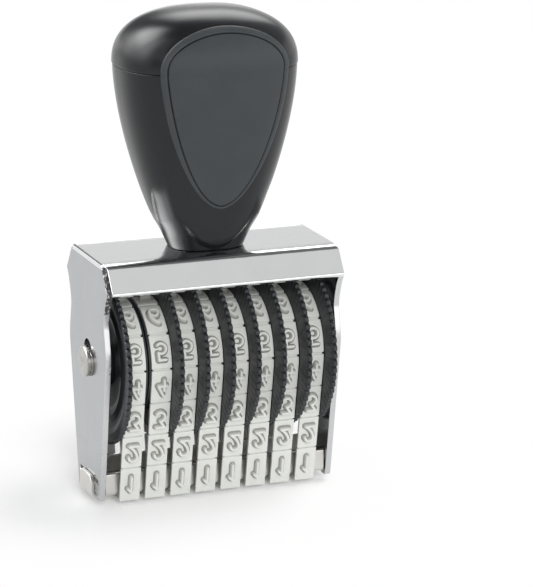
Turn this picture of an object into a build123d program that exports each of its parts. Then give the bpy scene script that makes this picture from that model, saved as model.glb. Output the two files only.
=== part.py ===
"""Band numbering stamp: a folded sheet frame with figure wheels, rubber figure bands and a moulded knob.

Frame of the model: +X to the right along the wheel axle, +Y to the back, +Z up.
The origin is on the surface that the stamp stands on, under the middle of the frame.
Lengths are in millimetres and angles in degrees.
"""
import os
from math import asin, atan2, cos, degrees, hypot, pi, radians, sin

from build123d import *

# Row of bands and wheels
BAND_COUNT = 8
BAND_PITCH = 7.0
BAND_WIDTH = 5.45
SIDE_ROOM = 3.175
AXLE_HEIGHT = 37.4

# Section of a band, measured outwards from the side that lies on the foot and the drum
STRIP_THICK = 1.05
STRIP_WIDTH = 4.65
NEUTRAL_LINE = 0.65
BLOCK_FACE = 1.85
FIGURE_RELIEF = 0.8
BLOCK_COUNT = 15
BLOCK_GAP = 0.35
FIRST_GAP = 8.27
DRUM_SEAT_RADIUS = 14.41
FOOT_HALF_DEPTH = 8.45
FOOT_CORNER_RADIUS = 1.2

# Figures on the blocks
FIGURE_HEIGHT = 6.7
FIGURE_WIDTH = 3.9
FIGURE_STROKE = 0.75

# Wheels
FLANGE_RADIUS = 22.25
KNURL_TEETH = 66
KNURL_DEPTH = 0.75
RIM_INNER_RADIUS = 18.2
CHEEK_RADIUS = 15.6
CHEEK_THICK = 0.45
WEB_THICK = 0.65
RIM_THICK = 1.25
DRUM_CLEARANCE = 0.31
HUB_RADIUS = 7.0
POCKET_WALL = 1.3
POCKET_DEPTH = 4.0

# Axle
AXLE_RADIUS = 3.0
AXLE_RUNNING_CLEARANCE = 0.05
AXLE_HEAD_RADIUS = 4.05
AXLE_HEAD_THICK = 1.75
AXLE_HEAD_CHAMFER = 0.3
AXLE_STUB_RADIUS = 2.2
SPACER_RADIUS = 5.2
SLOT_RISE = 2.3
SLOT_CLEARANCE = 0.05

# Folded sheet frame
SHEET = 1.6
TOP_ROOM = 4.55
TOP_HALF_DEPTH = 13.05
SKIRT_DROP = 6.95
SKIRT_HALF_DEPTH = 17.85
SKIRT_LAP = 0.8
SEAM = 0.25
BEND_RADIUS = 1.5
NECK_HALF_DEPTH = 14.8
NECK_DROP = 16.0
BULGE_HALF_DEPTH = 16.1
BULGE_DROP = 24.6
TAPER_START_HALF_DEPTH = 15.6
TAPER_START_DROP = 28.4
TOE_HALF_DEPTH = 8.7
TOE_HEIGHT = 2.5
TOE_RADIUS = 1.2

# Foot under the bands
FOOT_SHEET = 1.4
FOOT_WALL_TOP = 8.7
FOOT_END_GAP = 0.3
TAB_HALF_WIDTH = 5.2
TAB_TOP = 8.5
TAB_CORNER = 1.5
NOTCH_CLEARANCE = 0.5
NOTCH_TOP = 7.0
RELIEF_WIDTH = 2.0
RELIEF_HEIGHT = 1.3

# Knob
KNOB_BASE_HALF_WIDTH = 10.6
KNOB_SEAM_HALF_WIDTH = 23.45
KNOB_BODY_HEIGHT = 48.1
KNOB_SWELL = 1.65
KNOB_DEPTH_SHARE = 0.81
KNOB_SQUARENESS = 2.5
CAP_HEIGHT = 14.6
CAP_OVERHANG = 0.2
CAP_ROUNDNESS = 2.4
KNOB_WALL = 2.6
KNOB_FLOOR = 5.0
CAP_SPIGOT = 3.0
FIT = 0.1
LABEL_HALF_WIDTH = 15.6
LABEL_TOP_DROP = 4.8
LABEL_BOTTOM_RISE = 12.8
LABEL_WIDEST_RISE = 0.6
LABEL_SWELL = 1.6
LABEL_TAPER = 0.62
LABEL_THICK = 1.2
LABEL_CLEARANCE = 0.1
FLUTE_RADIUS = 6.0
FLUTE_SINK = 1.2
FLUTE_HEIGHT = 20.0
FLUTE_ANGLE = 30.0
PEG_RADIUS = 1.5
PEG_SPREAD = 7.0
PEG_LENGTH = 1.2
SCREW_RADIUS = 2.0
SCREW_LENGTH = 16.0
SCREW_HEAD_RADIUS = 3.6
SCREW_HEAD_THICK = 2.0
SCREW_SLOT = 0.9
WASHER_RADIUS = 4.8
WASHER_THICK = 0.8
BOSS_RADIUS = 6.0
BOSS_HEIGHT = 24.0

# Sizes that follow from the ones above
BAND_GAP = BAND_PITCH - BAND_WIDTH
ROW_HALF_WIDTH = (BAND_COUNT * BAND_PITCH - BAND_GAP) / 2
INNER_HALF_WIDTH = ROW_HALF_WIDTH + SIDE_ROOM
FRAME_HALF_WIDTH = INNER_HALF_WIDTH + SHEET
TOP_INSIDE = AXLE_HEIGHT + FLANGE_RADIUS + TOP_ROOM
TOP_OUTSIDE = TOP_INSIDE + SHEET
SKIRT_BOTTOM = TOP_OUTSIDE - SKIRT_DROP
FOOT_BASE = BLOCK_FACE + FIGURE_RELIEF
RUNNING_GAP = (BAND_GAP - WEB_THICK - CHEEK_THICK) / 3
DRUM_RADIUS = DRUM_SEAT_RADIUS - DRUM_CLEARANCE
BORE_RADIUS = AXLE_RADIUS + AXLE_RUNNING_CLEARANCE
SEAM_HEIGHT = TOP_OUTSIDE + KNOB_BODY_HEIGHT
OVER = 1.0

# The path of a band: flat under the foot, round its corners, up two leaning runs, over the drum
CORNER_Y = FOOT_HALF_DEPTH - FOOT_CORNER_RADIUS
CORNER_Z = FOOT_BASE + FOOT_CORNER_RADIUS
RISE = AXLE_HEIGHT - CORNER_Z
SPAN = hypot(CORNER_Y, RISE)
LEAN = asin((DRUM_SEAT_RADIUS - FOOT_CORNER_RADIUS) / SPAN) - atan2(CORNER_Y, RISE)
RUN = (SPAN**2 - (DRUM_SEAT_RADIUS - FOOT_CORNER_RADIUS) ** 2) ** 0.5
CORNER_START = CORNER_Y
CORNER_END = CORNER_START + (FOOT_CORNER_RADIUS + NEUTRAL_LINE) * (pi / 2 - LEAN)
DRUM_START = CORNER_END + RUN
BAND_LENGTH = 2 * (DRUM_START + (DRUM_SEAT_RADIUS + NEUTRAL_LINE) * (pi / 2 + LEAN))
BLOCK_PITCH = BAND_LENGTH / BLOCK_COUNT


def front_point(distance, height):
    """Point (y, z) on the front run at a neutral distance, at a height above the band's inner side."""
    along = distance - CORNER_END
    reach = FOOT_CORNER_RADIUS + height
    y = -CORNER_Y - reach * cos(LEAN) - along * sin(LEAN)
    z = CORNER_Z - reach * sin(LEAN) + along * cos(LEAN)
    return y, z


def path_point(distance, height):
    """Point (y, z) of a band at a neutral distance from the middle of the foot, front first."""
    distance = distance % BAND_LENGTH
    if distance > BAND_LENGTH / 2:
        y, z = path_point(BAND_LENGTH - distance, height)
        return -y, z
    if distance <= CORNER_START:
        return -distance, FOOT_BASE - height
    if distance <= CORNER_END:
        turn = (distance - CORNER_START) / (FOOT_CORNER_RADIUS + NEUTRAL_LINE)
        reach = FOOT_CORNER_RADIUS + height
        return -CORNER_Y - reach * sin(turn), CORNER_Z - reach * cos(turn)
    if distance <= DRUM_START:
        return front_point(distance, height)
    turn = (distance - DRUM_START) / (DRUM_SEAT_RADIUS + NEUTRAL_LINE) - LEAN
    reach = DRUM_SEAT_RADIUS + height
    return -reach * cos(turn), AXLE_HEIGHT + reach * sin(turn)


def loop_face(height, sharp_front=False):
    """Area inside the band's loop at a height above its inner side, in local y and z."""
    corner_turn = pi / 2 - LEAN
    corner = FOOT_CORNER_RADIUS + height
    drum = DRUM_SEAT_RADIUS + height
    floor = FOOT_BASE - height
    mid_y = CORNER_Y + corner * sin(corner_turn / 2)
    mid_z = CORNER_Z - corner * cos(corner_turn / 2)
    low_y = CORNER_Y + corner * cos(LEAN)
    low_z = CORNER_Z - corner * sin(LEAN)
    high_y = drum * cos(LEAN)
    high_z = AXLE_HEIGHT - drum * sin(LEAN)
    tip_y = low_y - (low_z - floor) * sin(LEAN) / cos(LEAN)
    edges = [Line((CORNER_Y, floor), (-tip_y if sharp_front else -CORNER_Y, floor))]
    if sharp_front:
        edges.append(Line((-tip_y, floor), (-high_y, high_z)))
    else:
        edges.append(ThreePointArc((-CORNER_Y, floor), (-mid_y, mid_z), (-low_y, low_z)))
        edges.append(Line((-low_y, low_z), (-high_y, high_z)))
    edges.append(ThreePointArc((-high_y, high_z), (0, AXLE_HEIGHT + drum), (high_y, high_z)))
    edges.append(Line((high_y, high_z), (low_y, low_z)))
    edges.append(ThreePointArc((low_y, low_z), (mid_y, mid_z), (CORNER_Y, floor)))
    return make_face(edges)


def across(face, start, width):
    """Solid from a face in local y and z, from x = start over a width."""
    return extrude(Plane.YZ.offset(start) * face, width)


def polygon(points):
    """Face with straight sides through points of local y and z."""
    return make_face([Polyline(*points, close=True)])


def gap_face(distance):
    """Wedge between two blocks; it opens where the band bends over the drum."""
    on_drum = DRUM_START < distance < BAND_LENGTH - DRUM_START
    spread = BLOCK_PITCH * (BLOCK_FACE - NEUTRAL_LINE) / (DRUM_SEAT_RADIUS + BLOCK_FACE) if on_drum else 0
    low = BLOCK_GAP / 2
    high = low + spread / 2
    points = [
        path_point(distance - low, STRIP_THICK),
        path_point(distance + low, STRIP_THICK),
        path_point(distance + high, BLOCK_FACE + OVER),
        path_point(distance - high, BLOCK_FACE + OVER),
    ]
    return polygon(points)


def corner_gap_face():
    """Wedge at the front corner of the foot, square to the block below and the block above."""
    low = FIRST_GAP - BLOCK_GAP / 2
    high = FIRST_GAP + BLOCK_GAP / 2
    points = [
        (-low, FOOT_BASE - STRIP_THICK),
        path_point(FIRST_GAP, STRIP_THICK),
        front_point(high, STRIP_THICK),
        front_point(high, BLOCK_FACE + OVER),
        (-low - BLOCK_FACE, -OVER),
        (-low, -OVER),
    ]
    return polygon(points)


def figure_lines(figure):
    """Centre lines of a figure, with its middle at the origin."""
    x = (FIGURE_WIDTH - FIGURE_STROKE) / 2
    y = (FIGURE_HEIGHT - FIGURE_STROKE) / 2
    low = x - y
    high = y - x
    if figure == "0":
        return [
            ThreePointArc((-x, high), (0, y), (x, high)),
            Line((x, high), (x, low)),
            ThreePointArc((x, low), (0, -y), (-x, low)),
            Line((-x, low), (-x, high)),
        ]
    if figure == "1":
        return [Line((0, -y), (0, y)), Line((0, y), (-0.7 * x, y - 0.8 * x))]
    if figure == "2":
        return [
            ThreePointArc((-x, high), (0, y), (x, high)),
            ThreePointArc((x, high), (0.7 * x, 0), (-x, -y)),
            Line((-x, -y), (x, -y)),
        ]
    if figure == "3":
        return [
            Line((-x, y), (x, y)),
            Line((x, y), (-0.1 * x, 0.2 * y)),
            ThreePointArc((-0.1 * x, 0.2 * y), (x, low), (-x, -0.8 * y)),
        ]
    if figure == "4":
        return [
            Line((0.3 * x, y), (-x, -0.3 * y)),
            Line((-x, -0.3 * y), (x, -0.3 * y)),
            Line((0.4 * x, 0.3 * y), (0.4 * x, -y)),
        ]
    if figure == "5":
        return [
            Line((0.9 * x, y), (-0.8 * x, y)),
            Line((-0.8 * x, y), (-0.9 * x, 0.1 * y)),
            ThreePointArc((-0.9 * x, 0.1 * y), (x, low), (-x, -0.8 * y)),
        ]
    if figure == "6":
        return [
            ThreePointArc((-x, low), (0, low + x), (x, low)),
            ThreePointArc((x, low), (0, -y), (-x, low)),
            ThreePointArc((-x, low), (-0.6 * x, 0.5 * y), (0.7 * x, y)),
        ]
    if figure == "7":
        return [Line((-x, y), (x, y)), Line((x, y), (-0.4 * x, -y))]
    if figure == "8":
        waist = 0.9 * x
        return [
            ThreePointArc((-waist, y - waist), (0, y), (waist, y - waist)),
            ThreePointArc((waist, y - waist), (0, y - 2 * waist), (-waist, y - waist)),
            ThreePointArc((-x, low), (0, low + x), (x, low)),
            ThreePointArc((x, low), (0, -y), (-x, low)),
        ]
    if figure == "9":
        return [
            ThreePointArc((-x, high), (0, high - x), (x, high)),
            ThreePointArc((x, high), (0, y), (-x, high)),
            ThreePointArc((x, high), (0.6 * x, -0.5 * y), (-0.7 * x, -y)),
        ]
    if figure == "/":
        return [Line((-x, -y), (x, y))]
    if figure == ".":
        return [Line((0, -y), (0, -y + 1.5 * FIGURE_STROKE))]
    return [Line((-x, 0), (x, 0))]


def figure_solid(figure, distance):
    """Raised figure on the block at a neutral distance.

    The top of a figure points down the front of the stamp, and its left stays on the left, so
    that it prints the right way round.
    """
    bend = FIGURE_HEIGHT**2 / (8 * DRUM_SEAT_RADIUS)
    root = BLOCK_FACE - bend
    step = BLOCK_GAP
    y, z = path_point(distance, root)
    y_ahead, z_ahead = path_point(distance + step, root)
    y_out, z_out = path_point(distance, root + step)
    up = Vector(0, y - y_ahead, z - z_ahead).normalized()
    out = Vector(0, y_out - y, z_out - z).normalized()
    place = Plane(origin=(0, y, z), x_dir=(1, 0, 0), z_dir=Vector(1, 0, 0).cross(up))
    sketch = Sketch() + [trace(line, FIGURE_STROKE) for line in figure_lines(figure)]
    height = FIGURE_RELIEF + bend
    return extrude(place * sketch, height if place.z_dir.dot(out) > 0 else -height)


def band():
    """One endless band about x = 0: a narrow strip, its blocks and their figures."""
    strip = across(loop_face(STRIP_THICK) - loop_face(0), -STRIP_WIDTH / 2, STRIP_WIDTH)
    ring = loop_face(BLOCK_FACE, sharp_front=True) - loop_face(STRIP_THICK / 2)
    blocks = across(ring, -BAND_WIDTH / 2, BAND_WIDTH)
    for index in range(1, BLOCK_COUNT):
        blocks -= across(gap_face(FIRST_GAP + index * BLOCK_PITCH), -BAND_WIDTH, 2 * BAND_WIDTH)
    blocks -= across(corner_gap_face(), -BAND_WIDTH, 2 * BAND_WIDTH)
    solid = strip + blocks
    for index, figure in enumerate("0123456789-/. -"):
        if figure != " ":
            solid += figure_solid(figure, FIRST_GAP + (index - 0.5) * BLOCK_PITCH)
    return solid


def disc(radius, start, thick):
    """Round disc about the axle, from x = start over a thickness."""
    return Plane.YZ.offset(start) * Pos(0, AXLE_HEIGHT, 0) * extrude(Circle(radius), thick)


def knurled_rim(start, thick):
    """Rim with round teeth, from x = start over a thickness."""
    root = FLANGE_RADIUS - KNURL_DEPTH
    step = 2 * pi / KNURL_TEETH
    teeth = []
    for index in range(KNURL_TEETH):
        low = index * step
        mid = low + step / 2
        high = low + step
        first = (root * cos(low), root * sin(low))
        tip = (FLANGE_RADIUS * cos(mid), FLANGE_RADIUS * sin(mid))
        last = (root * cos(high), root * sin(high))
        teeth.append(ThreePointArc(first, tip, last))
    outline = make_face(teeth) - Circle(RIM_INNER_RADIUS - WEB_THICK)
    return Plane.YZ.offset(start) * Pos(0, AXLE_HEIGHT, 0) * extrude(outline, thick)


def wheel():
    """Figure wheel about x = 0 with its knurled flange on the right."""
    edge = BAND_WIDTH / 2
    cheek_start = -edge - RUNNING_GAP - CHEEK_THICK
    web_start = edge + RUNNING_GAP
    web_end = web_start + WEB_THICK
    solid = disc(DRUM_RADIUS, cheek_start, web_end - cheek_start)
    solid += disc(CHEEK_RADIUS, cheek_start, CHEEK_THICK)
    solid += disc(RIM_INNER_RADIUS, web_start, WEB_THICK)
    solid += knurled_rim(web_start, RIM_THICK)
    pocket = disc(DRUM_RADIUS - POCKET_WALL, web_end - POCKET_DEPTH, POCKET_DEPTH + OVER)
    solid -= pocket - disc(HUB_RADIUS, web_end - POCKET_DEPTH, POCKET_DEPTH + OVER)
    return solid - disc(BORE_RADIUS, -BAND_PITCH, 2 * BAND_PITCH)


def plate_outline():
    """Side plate in local y and z, with its skirt edges set back behind the skirts."""
    slope = atan2(SKIRT_HALF_DEPTH - TOP_HALF_DEPTH, SKIRT_DROP)
    setback = (SHEET + SEAM) / cos(slope)
    nose = SKIRT_BOTTOM - SEAM - SHEET * sin(slope)
    neck = TOP_OUTSIDE - NECK_DROP
    bulge = TOP_OUTSIDE - BULGE_DROP
    taper = TOP_OUTSIDE - TAPER_START_DROP
    under = SKIRT_HALF_DEPTH - setback
    toe_lean = (TAPER_START_HALF_DEPTH - TOE_HALF_DEPTH, taper - TOE_HEIGHT)
    edges = []
    for side in (-1, 1):
        edges.append(Line((0, TOP_OUTSIDE), (side * (TOP_HALF_DEPTH - setback), TOP_OUTSIDE)))
        edges.append(Line((side * (TOP_HALF_DEPTH - setback), TOP_OUTSIDE), (side * under, SKIRT_BOTTOM)))
        edges.append(Line((side * under, SKIRT_BOTTOM), (side * under, nose)))
        edges.append(Line((side * under, nose), (side * SKIRT_HALF_DEPTH, nose)))
        edges.append(
            Spline(
                (side * SKIRT_HALF_DEPTH, nose),
                (side * NECK_HALF_DEPTH, neck),
                (side * BULGE_HALF_DEPTH, bulge),
                (side * TAPER_START_HALF_DEPTH, taper),
                tangents=((-side * sin(slope), -cos(slope)), (-side * toe_lean[0], -toe_lean[1])),
            )
        )
        edges.append(Line((side * TAPER_START_HALF_DEPTH, taper), (side * TOE_HALF_DEPTH, TOE_HEIGHT)))
        edges.append(Line((side * TOE_HALF_DEPTH, TOE_HEIGHT), (0, TOE_HEIGHT)))
    return make_face(edges)


def plate_cutouts():
    """Axle slot and the notch for the foot's tab, in local y and z."""
    slot_radius = AXLE_RADIUS + SLOT_CLEARANCE
    slot = Pos(0, AXLE_HEIGHT) * Circle(slot_radius)
    slot += Pos(0, AXLE_HEIGHT + SLOT_RISE) * Circle(slot_radius)
    slot += Pos(0, AXLE_HEIGHT + SLOT_RISE / 2) * Rectangle(2 * slot_radius, SLOT_RISE)
    notch_half = TAB_HALF_WIDTH + NOTCH_CLEARANCE
    notch = Pos(0, NOTCH_TOP / 2) * Rectangle(2 * notch_half, NOTCH_TOP)
    relief_half = notch_half + RELIEF_WIDTH
    relief = Pos(0, NOTCH_TOP + RELIEF_HEIGHT / 2) * Rectangle(2 * relief_half, RELIEF_HEIGHT)
    return slot + notch + relief


def frame_shell():
    """Top, two side plates and two slanted skirts, folded from one sheet."""
    slope = atan2(SKIRT_HALF_DEPTH - TOP_HALF_DEPTH, SKIRT_DROP)
    shift_y = SHEET * cos(slope)
    shift_z = SHEET * sin(slope)
    bend_shift = SHEET * (1 - sin(slope)) / cos(slope)
    roof = polygon(
        [
            (-TOP_HALF_DEPTH, TOP_OUTSIDE),
            (-SKIRT_HALF_DEPTH, SKIRT_BOTTOM),
            (-SKIRT_HALF_DEPTH + shift_y, SKIRT_BOTTOM - shift_z),
            (-TOP_HALF_DEPTH + bend_shift, TOP_INSIDE),
            (TOP_HALF_DEPTH - bend_shift, TOP_INSIDE),
            (SKIRT_HALF_DEPTH - shift_y, SKIRT_BOTTOM - shift_z),
            (SKIRT_HALF_DEPTH, SKIRT_BOTTOM),
            (TOP_HALF_DEPTH, TOP_OUTSIDE),
        ]
    )
    roof_half_width = FRAME_HALF_WIDTH - SKIRT_LAP
    roof_solid = across(roof, -roof_half_width, 2 * roof_half_width)
    bends = roof_solid.edges().filter_by(Axis.X).group_by(Axis.Z)[-1]
    roof_solid = fillet(bends, BEND_RADIUS)
    plate = plate_outline()
    toes = plate.vertices().group_by(Axis.Y)[0]
    plate = fillet(toes.sort_by(Axis.X)[0], TOE_RADIUS)
    plate = fillet(plate.vertices().group_by(Axis.Y)[0].sort_by(Axis.X)[-1], TOE_RADIUS)
    plate -= plate_cutouts()
    shell = roof_solid
    for side in (-1, 1):
        start = -FRAME_HALF_WIDTH if side < 0 else INNER_HALF_WIDTH
        side_plate = across(plate, start, SHEET)
        top_edges = side_plate.edges().filter_by(Axis.Y).group_by(Axis.Z)[-1]
        outer_edge = top_edges.sort_by(Axis.X)[0 if side < 0 else -1]
        shell += fillet(outer_edge, BEND_RADIUS)
    hole_radius = SCREW_RADIUS + FIT
    hole = Pos(0, 0, TOP_INSIDE + SHEET / 2) * Cylinder(hole_radius, 2 * SHEET)
    for side in (-1, 1):
        hole += Pos(side * PEG_SPREAD, 0, TOP_INSIDE + SHEET / 2) * Cylinder(PEG_RADIUS + FIT, 2 * SHEET)
    return shell - hole


def foot_channel():
    """Channel that carries the bands over the print line, with a tab folded up at each end."""
    skin = FIT / 2
    outer_half = FOOT_HALF_DEPTH - skin
    base = FOOT_BASE + skin
    inner_half = outer_half - FOOT_SHEET
    half_length = INNER_HALF_WIDTH - FOOT_END_GAP
    walls = Pos(0, (base + FOOT_WALL_TOP) / 2) * Rectangle(2 * outer_half, FOOT_WALL_TOP - base)
    walls = fillet(walls.vertices().group_by(Axis.Y)[0], FOOT_CORNER_RADIUS - skin)
    room = FOOT_WALL_TOP - base
    walls -= Pos(0, base + FOOT_SHEET + room / 2) * Rectangle(2 * inner_half, room)
    channel = across(walls, -half_length, 2 * half_length)
    rims = channel.edges().filter_by(Axis.X).group_by(Axis.Z)[-1]
    channel = fillet(rims, FOOT_SHEET / 3)
    tab_inside = FRAME_HALF_WIDTH + skin
    tab_outside = tab_inside + FOOT_SHEET
    for side in (-1, 1):
        middle = side * (half_length + tab_outside) / 2
        reach = tab_outside - half_length
        tongue = Pos(middle, 0, base + FOOT_SHEET / 2) * Box(reach, 2 * TAB_HALF_WIDTH, FOOT_SHEET)
        upright_z = (base + TAB_TOP) / 2
        upright = Pos(side * (tab_inside + FOOT_SHEET / 2), 0, upright_z)
        upright = upright * Box(FOOT_SHEET, 2 * TAB_HALF_WIDTH, TAB_TOP - base)
        corners = upright.edges().filter_by(Axis.X).group_by(Axis.Z)[-1]
        upright = chamfer(corners, TAB_CORNER)
        folded = tongue + upright
        low_edges = folded.edges().filter_by(Axis.Y).group_by(Axis.Z)[0]
        low_edge = low_edges.sort_by(Axis.X)[0 if side < 0 else -1]
        channel += fillet(low_edge, FOOT_SHEET * 0.9)
    return channel


def axle_pin():
    """Axle with its turned head on the left and a stub for the end cap on the right."""
    skin = FIT / 2
    head = disc(AXLE_HEAD_RADIUS, -FRAME_HALF_WIDTH - skin - AXLE_HEAD_THICK, AXLE_HEAD_THICK)
    head = chamfer(head.edges().group_by(Axis.X)[0], AXLE_HEAD_CHAMFER)
    rod = disc(AXLE_RADIUS, -FRAME_HALF_WIDTH - skin, 2 * (FRAME_HALF_WIDTH + skin))
    stub = disc(AXLE_STUB_RADIUS, FRAME_HALF_WIDTH, skin + AXLE_HEAD_THICK - AXLE_HEAD_CHAMFER)
    return head + rod + stub


def axle_end_cap():
    """Cap pressed on the axle's right end."""
    start = FRAME_HALF_WIDTH + FIT / 2
    cap = disc(AXLE_HEAD_RADIUS, start, AXLE_HEAD_THICK)
    cap = chamfer(cap.edges().group_by(Axis.X)[-1], AXLE_HEAD_CHAMFER)
    return cap - disc(AXLE_STUB_RADIUS, start, AXLE_HEAD_THICK - AXLE_HEAD_CHAMFER)


def axle_spacer(side):
    """Spacer ring between a side plate and the outermost wheel."""
    wheel_face = ROW_HALF_WIDTH + RUNNING_GAP + WEB_THICK + RUNNING_GAP
    thick = INNER_HALF_WIDTH - wheel_face
    start = -INNER_HALF_WIDTH if side < 0 else wheel_face
    return disc(SPACER_RADIUS, start, thick) - disc(BORE_RADIUS, start, thick)


def knob_section(half_width, height):
    """Rounded section of the knob at a height."""
    points = []
    steps = 32
    for index in range(steps):
        angle = 2 * pi * index / steps
        c = cos(angle)
        s = sin(angle)
        x = half_width * abs(c) ** (2 / KNOB_SQUARENESS) * (1 if c >= 0 else -1)
        y = half_width * KNOB_DEPTH_SHARE * abs(s) ** (2 / KNOB_SQUARENESS) * (1 if s >= 0 else -1)
        points.append((x, y))
    return Pos(0, 0, height) * make_face([Spline(*points, periodic=True)])


def body_half_width(share):
    """Half width of the knob's body at a share of its height."""
    swell = KNOB_SEAM_HALF_WIDTH - KNOB_BASE_HALF_WIDTH
    return KNOB_SEAM_HALF_WIDTH - swell * (1 - share) ** KNOB_SWELL


def body_loft(inset, low=0.0):
    """Body of the knob, smaller by an inset all round, from a share of its height up."""
    steps = 6
    sections = []
    for index in range(steps + 1):
        share = low + (1 - low) * index / steps
        height = TOP_OUTSIDE + share * KNOB_BODY_HEIGHT
        sections.append(knob_section(body_half_width(share) - inset, height))
    return loft(sections)


def cap_loft(inset):
    """Domed cap of the knob, smaller by an inset all round."""
    dome = CAP_HEIGHT - inset
    sections = []
    steps = 6
    for index in range(steps):
        share = sin(pi / 2 * index / steps)
        width = (1 - share**CAP_ROUNDNESS) ** (1 / CAP_ROUNDNESS)
        half_width = (KNOB_SEAM_HALF_WIDTH + CAP_OVERHANG - inset) * width
        sections.append(knob_section(half_width, SEAM_HEIGHT + share * dome))
    return loft(sections + [Vertex(0, 0, SEAM_HEIGHT + dome)])


def label_prism(inset, side):
    """Egg-shaped prism for a label plate; side is -1 for the front and 1 for the rear."""
    half = LABEL_HALF_WIDTH - inset
    wide = SEAM_HEIGHT + LABEL_WIDEST_RISE
    rise = SEAM_HEIGHT + CAP_HEIGHT - LABEL_TOP_DROP - inset - wide
    drop = wide - (TOP_OUTSIDE + LABEL_BOTTOM_RISE + inset)
    steps = 6
    right = []
    for index in range(steps):
        share = sin(pi / 2 * index / steps)
        right.append((half * (1 - share**LABEL_SWELL) ** LABEL_TAPER, wide - share * drop))
    left = [(-x, z) for x, z in reversed(right)]
    points = right + [(0, wide - drop)] + left
    edges = [
        EllipticalCenterArc((0, wide), half, rise, start_angle=0, arc_size=180),
        Spline(*points, tangents=((0, -1), (0, 1))),
    ]
    start = Plane.XZ.offset(OVER)
    depth = 2 * KNOB_SEAM_HALF_WIDTH
    prism = extrude(start * make_face(edges), depth)
    return prism if side < 0 else prism.rotate(Axis.Z, 180)


def label_plate(side):
    """Label plate that follows the knob's face."""
    whole = body_loft(0) + cap_loft(0)
    plate = label_prism(LABEL_CLEARANCE, side) & whole
    core_inset = LABEL_THICK - LABEL_CLEARANCE
    return plate - (body_loft(core_inset) + cap_loft(core_inset))


def label_pockets():
    """Shallow pockets in the knob for the two label plates."""
    prisms = label_prism(0, -1) + label_prism(0, 1)
    return prisms - (body_loft(LABEL_THICK) + cap_loft(LABEL_THICK))


def flute(hand, side):
    """Round tool that scoops a finger flute at one lower corner of the knob."""
    points = []
    for share, sink in ((0.0, FLUTE_SINK), (FLUTE_HEIGHT / KNOB_BODY_HEIGHT, 0.0)):
        half_width = body_half_width(share)
        x = half_width * cos(radians(FLUTE_ANGLE)) ** (2 / KNOB_SQUARENESS)
        y = half_width * KNOB_DEPTH_SHARE * sin(radians(FLUTE_ANGLE)) ** (2 / KNOB_SQUARENESS)
        out = FLUTE_RADIUS - sink
        x += out * cos(radians(FLUTE_ANGLE))
        y += out * sin(radians(FLUTE_ANGLE))
        points.append(Vector(hand * x, side * y, TOP_OUTSIDE + share * KNOB_BODY_HEIGHT))
    axis = points[1] - points[0]
    place = Plane(origin=points[0] - axis / 2, z_dir=axis)
    return place * extrude(Circle(FLUTE_RADIUS), 2 * axis.length)


def knob_body(pockets):
    """Hollow body of the knob with its screw boss, locating pegs and finger flutes."""
    floor_share = KNOB_FLOOR / KNOB_BODY_HEIGHT
    body = body_loft(0) - body_loft(KNOB_WALL, floor_share)
    boss = Pos(0, 0, TOP_OUTSIDE + BOSS_HEIGHT / 2) * Cylinder(BOSS_RADIUS, BOSS_HEIGHT)
    body += boss
    thread_depth = SCREW_LENGTH - SHEET - WASHER_THICK + OVER
    body -= Pos(0, 0, TOP_OUTSIDE + thread_depth / 2) * Cylinder(SCREW_RADIUS, thread_depth)
    for side in (-1, 1):
        body -= flute(-1, side)
        body -= flute(1, side)
        body += Pos(side * PEG_SPREAD, 0, TOP_OUTSIDE) * Cylinder(PEG_RADIUS, 2 * PEG_LENGTH)
    return body - pockets


def knob_cap(pockets):
    """Domed cap with a spigot that plugs into the body."""
    cap = cap_loft(0) - cap_loft(KNOB_WALL)
    plug = KNOB_WALL + FIT
    outer = knob_section(KNOB_SEAM_HALF_WIDTH - plug, SEAM_HEIGHT - CAP_SPIGOT)
    inner = knob_section(KNOB_SEAM_HALF_WIDTH - plug - KNOB_WALL / 2, SEAM_HEIGHT - CAP_SPIGOT)
    ring = extrude(outer, CAP_SPIGOT) - extrude(inner, CAP_SPIGOT)
    lid = knob_section(KNOB_SEAM_HALF_WIDTH - KNOB_WALL / 2, SEAM_HEIGHT)
    lid = extrude(lid, KNOB_WALL / 2) - extrude(inner, CAP_SPIGOT + KNOB_WALL)
    return cap + ring + lid - pockets


def handle_screw():
    """Slotted pan-head screw, put in from below."""
    seat = TOP_INSIDE - WASHER_THICK
    head = Pos(0, 0, seat - SCREW_HEAD_THICK / 2) * Cylinder(SCREW_HEAD_RADIUS, SCREW_HEAD_THICK)
    head = fillet(head.edges().group_by(Axis.Z)[0], SCREW_HEAD_THICK / 3)
    shank = Pos(0, 0, seat + SCREW_LENGTH / 2) * Cylinder(SCREW_RADIUS, SCREW_LENGTH)
    slot = Pos(0, 0, seat - SCREW_HEAD_THICK) * Box(2 * SCREW_HEAD_RADIUS, SCREW_SLOT, SCREW_HEAD_THICK)
    return head + shank - slot


def handle_washer():
    """Plain washer under the screw's head."""
    washer = Cylinder(WASHER_RADIUS, WASHER_THICK) - Cylinder(SCREW_RADIUS + FIT, WASHER_THICK)
    return Pos(0, 0, TOP_INSIDE - WASHER_THICK / 2) * washer


def save(solid, name):
    """Write one node."""
    export_step(solid, f"parts/{name}.step")


os.makedirs("parts", exist_ok=True)
save(frame_shell(), "frame_shell")
save(foot_channel(), "foot_channel")
save(axle_pin(), "axle_pin")
save(axle_end_cap(), "axle_end_cap")
save(axle_spacer(-1), "axle_spacer_left")
save(axle_spacer(1), "axle_spacer_right")

one_band = band()
one_wheel = wheel()
for number in range(1, BAND_COUNT + 1):
    centre = (number - (BAND_COUNT + 1) / 2) * BAND_PITCH
    save(Pos(centre, 0, 0) * one_band, f"band_{number}")
    turned = mirror(one_wheel, Plane.YZ) if number == 1 else one_wheel
    save(Pos(centre, 0, 0) * turned, f"wheel_{number}")

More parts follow.
